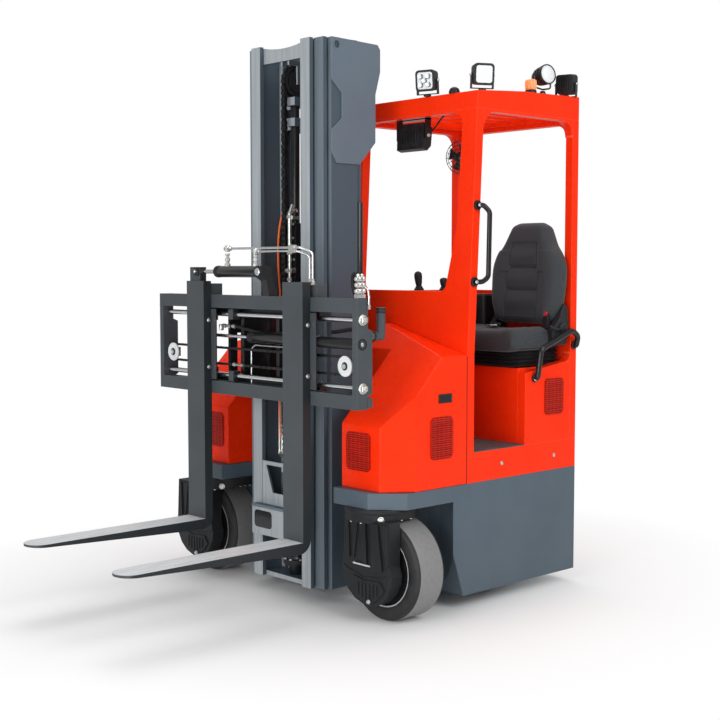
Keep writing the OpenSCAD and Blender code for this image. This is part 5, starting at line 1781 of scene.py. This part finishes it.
    def _valves(self) -> None:
        """Builds the fittings on the end plate, with their hose loop and the pipe stub behind it."""
        s = Shape("zinc")
        s.block((0.6655, -0.198, 1.3435), (0.6905, -0.16, 1.36), 0.003)
        for y in (-0.188, -0.168):
            for i in range(3):
                z = 1.372 + i * 0.024
                s.lathe([(0.0088, -0.01), (0.0105, -0.008), (0.0105, 0.008), (0.0088, 0.01)],
                    (self.frame_x, y, z), (0, 0, 1), 6)
                s.lathe([(0.007, 0.008), (0.009, 0.01), (0.009, 0.0145), (0.006, 0.0165)],
                    (self.frame_x, y, z), (1, 0, 0), 8)
                s.lathe([(0.0065, 0.008), (0.0085, 0.01), (0.0085, 0.015), (0.005, 0.017)],
                    (self.frame_x, y, z), (0, -1, 0), 6)
            s.lathe([(0.0085, 0), (0.0085, 0.006), (0.004, 0.01)], (self.frame_x, y, 1.43), (0, 0, 1), 14)
        s.using("stainless").tube(filleted([(0.69, -0.162, 1.388), (0.699, -0.155, 1.38),
            (0.7, -0.15, 1.35), (0.699, -0.15, 1.318)], 0.008), 0.0048, 10)
        s.using("zinc").lathe([(0.0078, 0), (0.0078, 0.016), (0.005, 0.018)], (0.699, -0.15, 1.3),
            (0, 0, 1), 6)
        s.using("rubber")
        s.tube(spline([(0.67, -0.18, 1.424), (0.652, -0.178, 1.44), (0.632, -0.172, 1.432),
            (0.622, -0.165, 1.4), (0.624, -0.158, 1.365), (0.64, -0.152, 1.335), (0.655, -0.148, 1.32)]),
            0.0085, 14)
        s.tube(spline([(0.67, -0.164, 1.418), (0.656, -0.162, 1.428), (0.642, -0.158, 1.418),
            (0.636, -0.153, 1.39), (0.64, -0.148, 1.35), (0.65, -0.145, 1.33)]), 0.0072, 12)
        self.builder.add("valve_fittings", s, Body.POSITIONER, ["hydraulics"])
        e = Shape("plastic")
        for z, r in ((1.299, 0.0208), (1.287, 0.0202)):
            e.lathe([(0.0175, -0.004), (r, -0.003), (r, 0.003), (0.0175, 0.004)],
                (self.frame_x, -0.0647, z), (0, 0, 1), 32)
        e.lathe([(0.0175, -0.004), (0.0206, -0.003), (0.0206, 0.004), (0.0175, 0.005)],
            (self.frame_x, -0.11, 1.191), (0, 1, 0), 32)
        self.builder.add("stub_collars", e, Body.POSITIONER)

    def _barrels(self) -> None:
        """Builds the glands, clips and end cap of the two positioner cylinders, and the rod clamps."""
        s = Shape("zinc")
        for x in (0.4, 0.418):
            s.lathe([(0.023, 0), (0.0246, 0.0015), (0.0246, 0.0075), (0.023, 0.009)],
                (x, self.rods, 1.161), (1, 0, 0), 40)
        s.using("cast")
        s.lathe([(0.009, -0.012), (0.0235, -0.01), (0.0242, -0.004), (0.0242, 0.02), (0.023, 0.024)],
            (-0.02, self.rods, 1.161), (1, 0, 0), 40)
        s.lathe([(0.01, -0.001), (0.0255, 0.0), (0.0262, 0.004), (0.0262, 0.018), (0.025, 0.022)],
            (-0.208, self.top_y, self.top_z), (1, 0, 0), 40)
        s.using("chrome").lathe([(0.0165, 0), (0.0165, 0.003), (0.0135, 0.006), (0.001, 0.0065)],
            (0.112, -0.2475, self.top_z), (0, -1, 0), 36)
        s.using("cast").lathe([(0.026, 0), (0.026, 0.002), (0.0165, 0.003), (0.0165, 0)],
            (0.112, -0.2465, self.top_z), (0, -1, 0), 36)
        s.using("fork")
        for z, way in ((0.986, 1), (1.258, -1)):
            s.block((-0.163, -0.2, z - 0.022), (-0.127, -0.16, z + 0.022), 0.005)
            s.block((-0.157, -0.192, min(z, z - 0.046 * way)), (-0.133, -0.168, max(z, z - 0.046 * way)))
        self.builder.add("cylinder_glands", s, Body.POSITIONER, bevel=0.0008)


# Forks


@dataclass
class Forks:
    """The clamps and bolts of the forks."""

    builder: Builder
    middle: float = 0.344

    def build(self) -> None:
        """Builds the pieces of both forks."""
        for name, side, body in (("right", 1, Body.RIGHT_FORK), ("left", -1, Body.LEFT_FORK)):
            x = side * self.middle
            c = Shape("fork")
            for z in (1.001, 1.243):
                c.block((x - 0.058, -0.206, z - 0.03), (x - 0.03, -0.15, z + 0.03), 0.006)
            if side < 0:
                # The clevis that ties the top ram to the left fork, with its pin
                c.using("cast")
                for y in (-0.243, -0.209):
                    c.block((x - 0.01, y - 0.004, 1.428), (x + 0.022, y + 0.004, 1.466), 0.003)
                c.using("zinc").lathe([(0.0075, -0.03), (0.0075, 0.03), (0.005, 0.033)],
                    (x + 0.006, -0.226, 1.447), (0, -1, 0), 20)
            c.using("zinc")
            for z in (1.02, 1.23):
                c.bolt((side * self.middle + 0.0655, -0.222, z), (1, 0, 0), 0.016)
            self.builder.add(f"fork_clamps_{name}", c, body, bevel=0.001)


# Studio


@dataclass
class Studio:
    """Camera, lights and floor."""

    camera_at: Point = (4.344, -3.5375, 1.465)
    camera_turn: Point = (math.radians(85.8), 0.0, math.radians(47.5))
    lens: float = 63.0

    def build(self) -> None:
        """Builds the studio round the machine."""
        self._camera()
        self._floor()
        self._lights()

    def _camera(self) -> None:
        """Sets the calibrated camera."""
        data = bpy.data.cameras.new("view")
        data.lens = self.lens
        data.sensor_width = 36.0
        camera = bpy.data.objects.new("view", data)
        camera.location = Vector(self.camera_at) + Vector((0, DATUM_Y, 0))
        camera.rotation_euler = self.camera_turn
        bpy.context.scene.collection.objects.link(camera)
        bpy.context.scene.camera = camera

    def _floor(self) -> None:
        """Adds a pale floor with a faint cloudiness, so that the shadows have something to lie on."""
        g = Graph("floor")
        colour = g.add("MixRGB", g.add("TexNoise", Vector=g.place, Scale=1 / 1.5, Detail=3,
            Roughness=0.55), linear("#F6F6F6"), linear("#F0F0F0"))
        material = g.finish(Base_Color=colour, Roughness=0.85)
        # Away from the machine the floor runs out into the white of the sky
        away = g.add("VectorMath", g.add("Mapping", Vector=g.place, Scale=(1.0, 0.72, 0.0)),
            operation="LENGTH")
        path = g.add("LightPath")
        faded = g.add("Math", g.add("MapRange", away.outputs["Value"], 0.75, 1.9),
            path.outputs["Is Camera Ray"], operation="MULTIPLY")
        white = g.add("Emission", Color=linear("#FFFFFF"), Strength=1.0)
        both = g.add("MixShader", faded, g.shader.outputs["BSDF"], white.outputs[0])
        g.tree.links.new(both.outputs[0], g.output.inputs["Surface"])
        data = bpy.data.meshes.new("floor")
        size = 40.0
        data.from_pydata([(-size, -size, 0), (size, -size, 0), (size, size, 0), (-size, size, 0)], [],
                         [(0, 1, 2, 3)])
        data.materials.append(material)
        floor = bpy.data.objects.new("floor", data)
        bpy.context.scene.collection.objects.link(floor)

    def _area(self, name: str, at: Point, to: Point, size: float, power: float) -> None:
        """Adds one area lamp at a place, aimed at a point."""
        data = bpy.data.lights.new(name, "AREA")
        data.energy = power
        data.size = size
        light = bpy.data.objects.new(name, data)
        light.location = at
        light.rotation_euler = (Vector(to) - Vector(at)).to_track_quat("-Z", "Y").to_euler()
        light.visible_camera = False
        bpy.context.scene.collection.objects.link(light)

    def _lights(self) -> None:
        """Adds a bright pale sky, a key from the open side and a weaker front light."""
        world = bpy.data.worlds.new("sky")
        world.use_nodes = True
        tree = world.node_tree
        tree.nodes.clear()
        out = tree.nodes.new("ShaderNodeOutputWorld")
        soft = tree.nodes.new("ShaderNodeBackground")
        soft.inputs["Color"].default_value = linear("#FFFFFF")
        soft.inputs["Strength"].default_value = 0.5
        seen = tree.nodes.new("ShaderNodeBackground")
        seen.inputs["Color"].default_value = linear("#FFFFFF")
        seen.inputs["Strength"].default_value = 1.0
        path = tree.nodes.new("ShaderNodeLightPath")
        both = tree.nodes.new("ShaderNodeMath")
        both.operation = "MAXIMUM"
        tree.links.new(path.outputs["Is Camera Ray"], both.inputs[0])
        tree.links.new(path.outputs["Is Transmission Ray"], both.inputs[1])
        mix = tree.nodes.new("ShaderNodeMixShader")
        tree.links.new(both.outputs[0], mix.inputs[0])
        tree.links.new(soft.outputs[0], mix.inputs[1])
        tree.links.new(seen.outputs[0], mix.inputs[2])
        tree.links.new(mix.outputs[0], out.inputs["Surface"])
        bpy.context.scene.world = world
        self._area("key", (5.5, 0.5, 4.2), (0.3, 0.3, 1.0), 3.0, 145)
        self._area("front", (1.5, -5.5, 2.4), (0.0, 0.0, 0.8), 3.0, 120)
        self._area("low", (3.2, -3.6, 0.7), (-0.5, -0.1, 0.2), 1.6, 45)
        self._area("top", (-1.0, 1.0, 6.0), (0.0, 0.0, 0.5), 4.0, 130)
        bpy.context.scene.view_settings.view_transform = "Standard"
        bpy.context.scene.view_settings.look = "None"


def main() -> None:
    """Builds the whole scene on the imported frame."""
    logging.basicConfig(level=logging.INFO)
    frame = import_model()
    palette = Palette()
    builder = Builder(palette)
    CadSolids(palette).dress(frame["nodes"])
    for part in (WheelUnits, Forks, Carriage, Mast, CabFittings, Seat):
        LOG.info("building %s", part.__name__)
        part(builder).build()
    Studio().build()


if __name__ == "__main__":
    main()
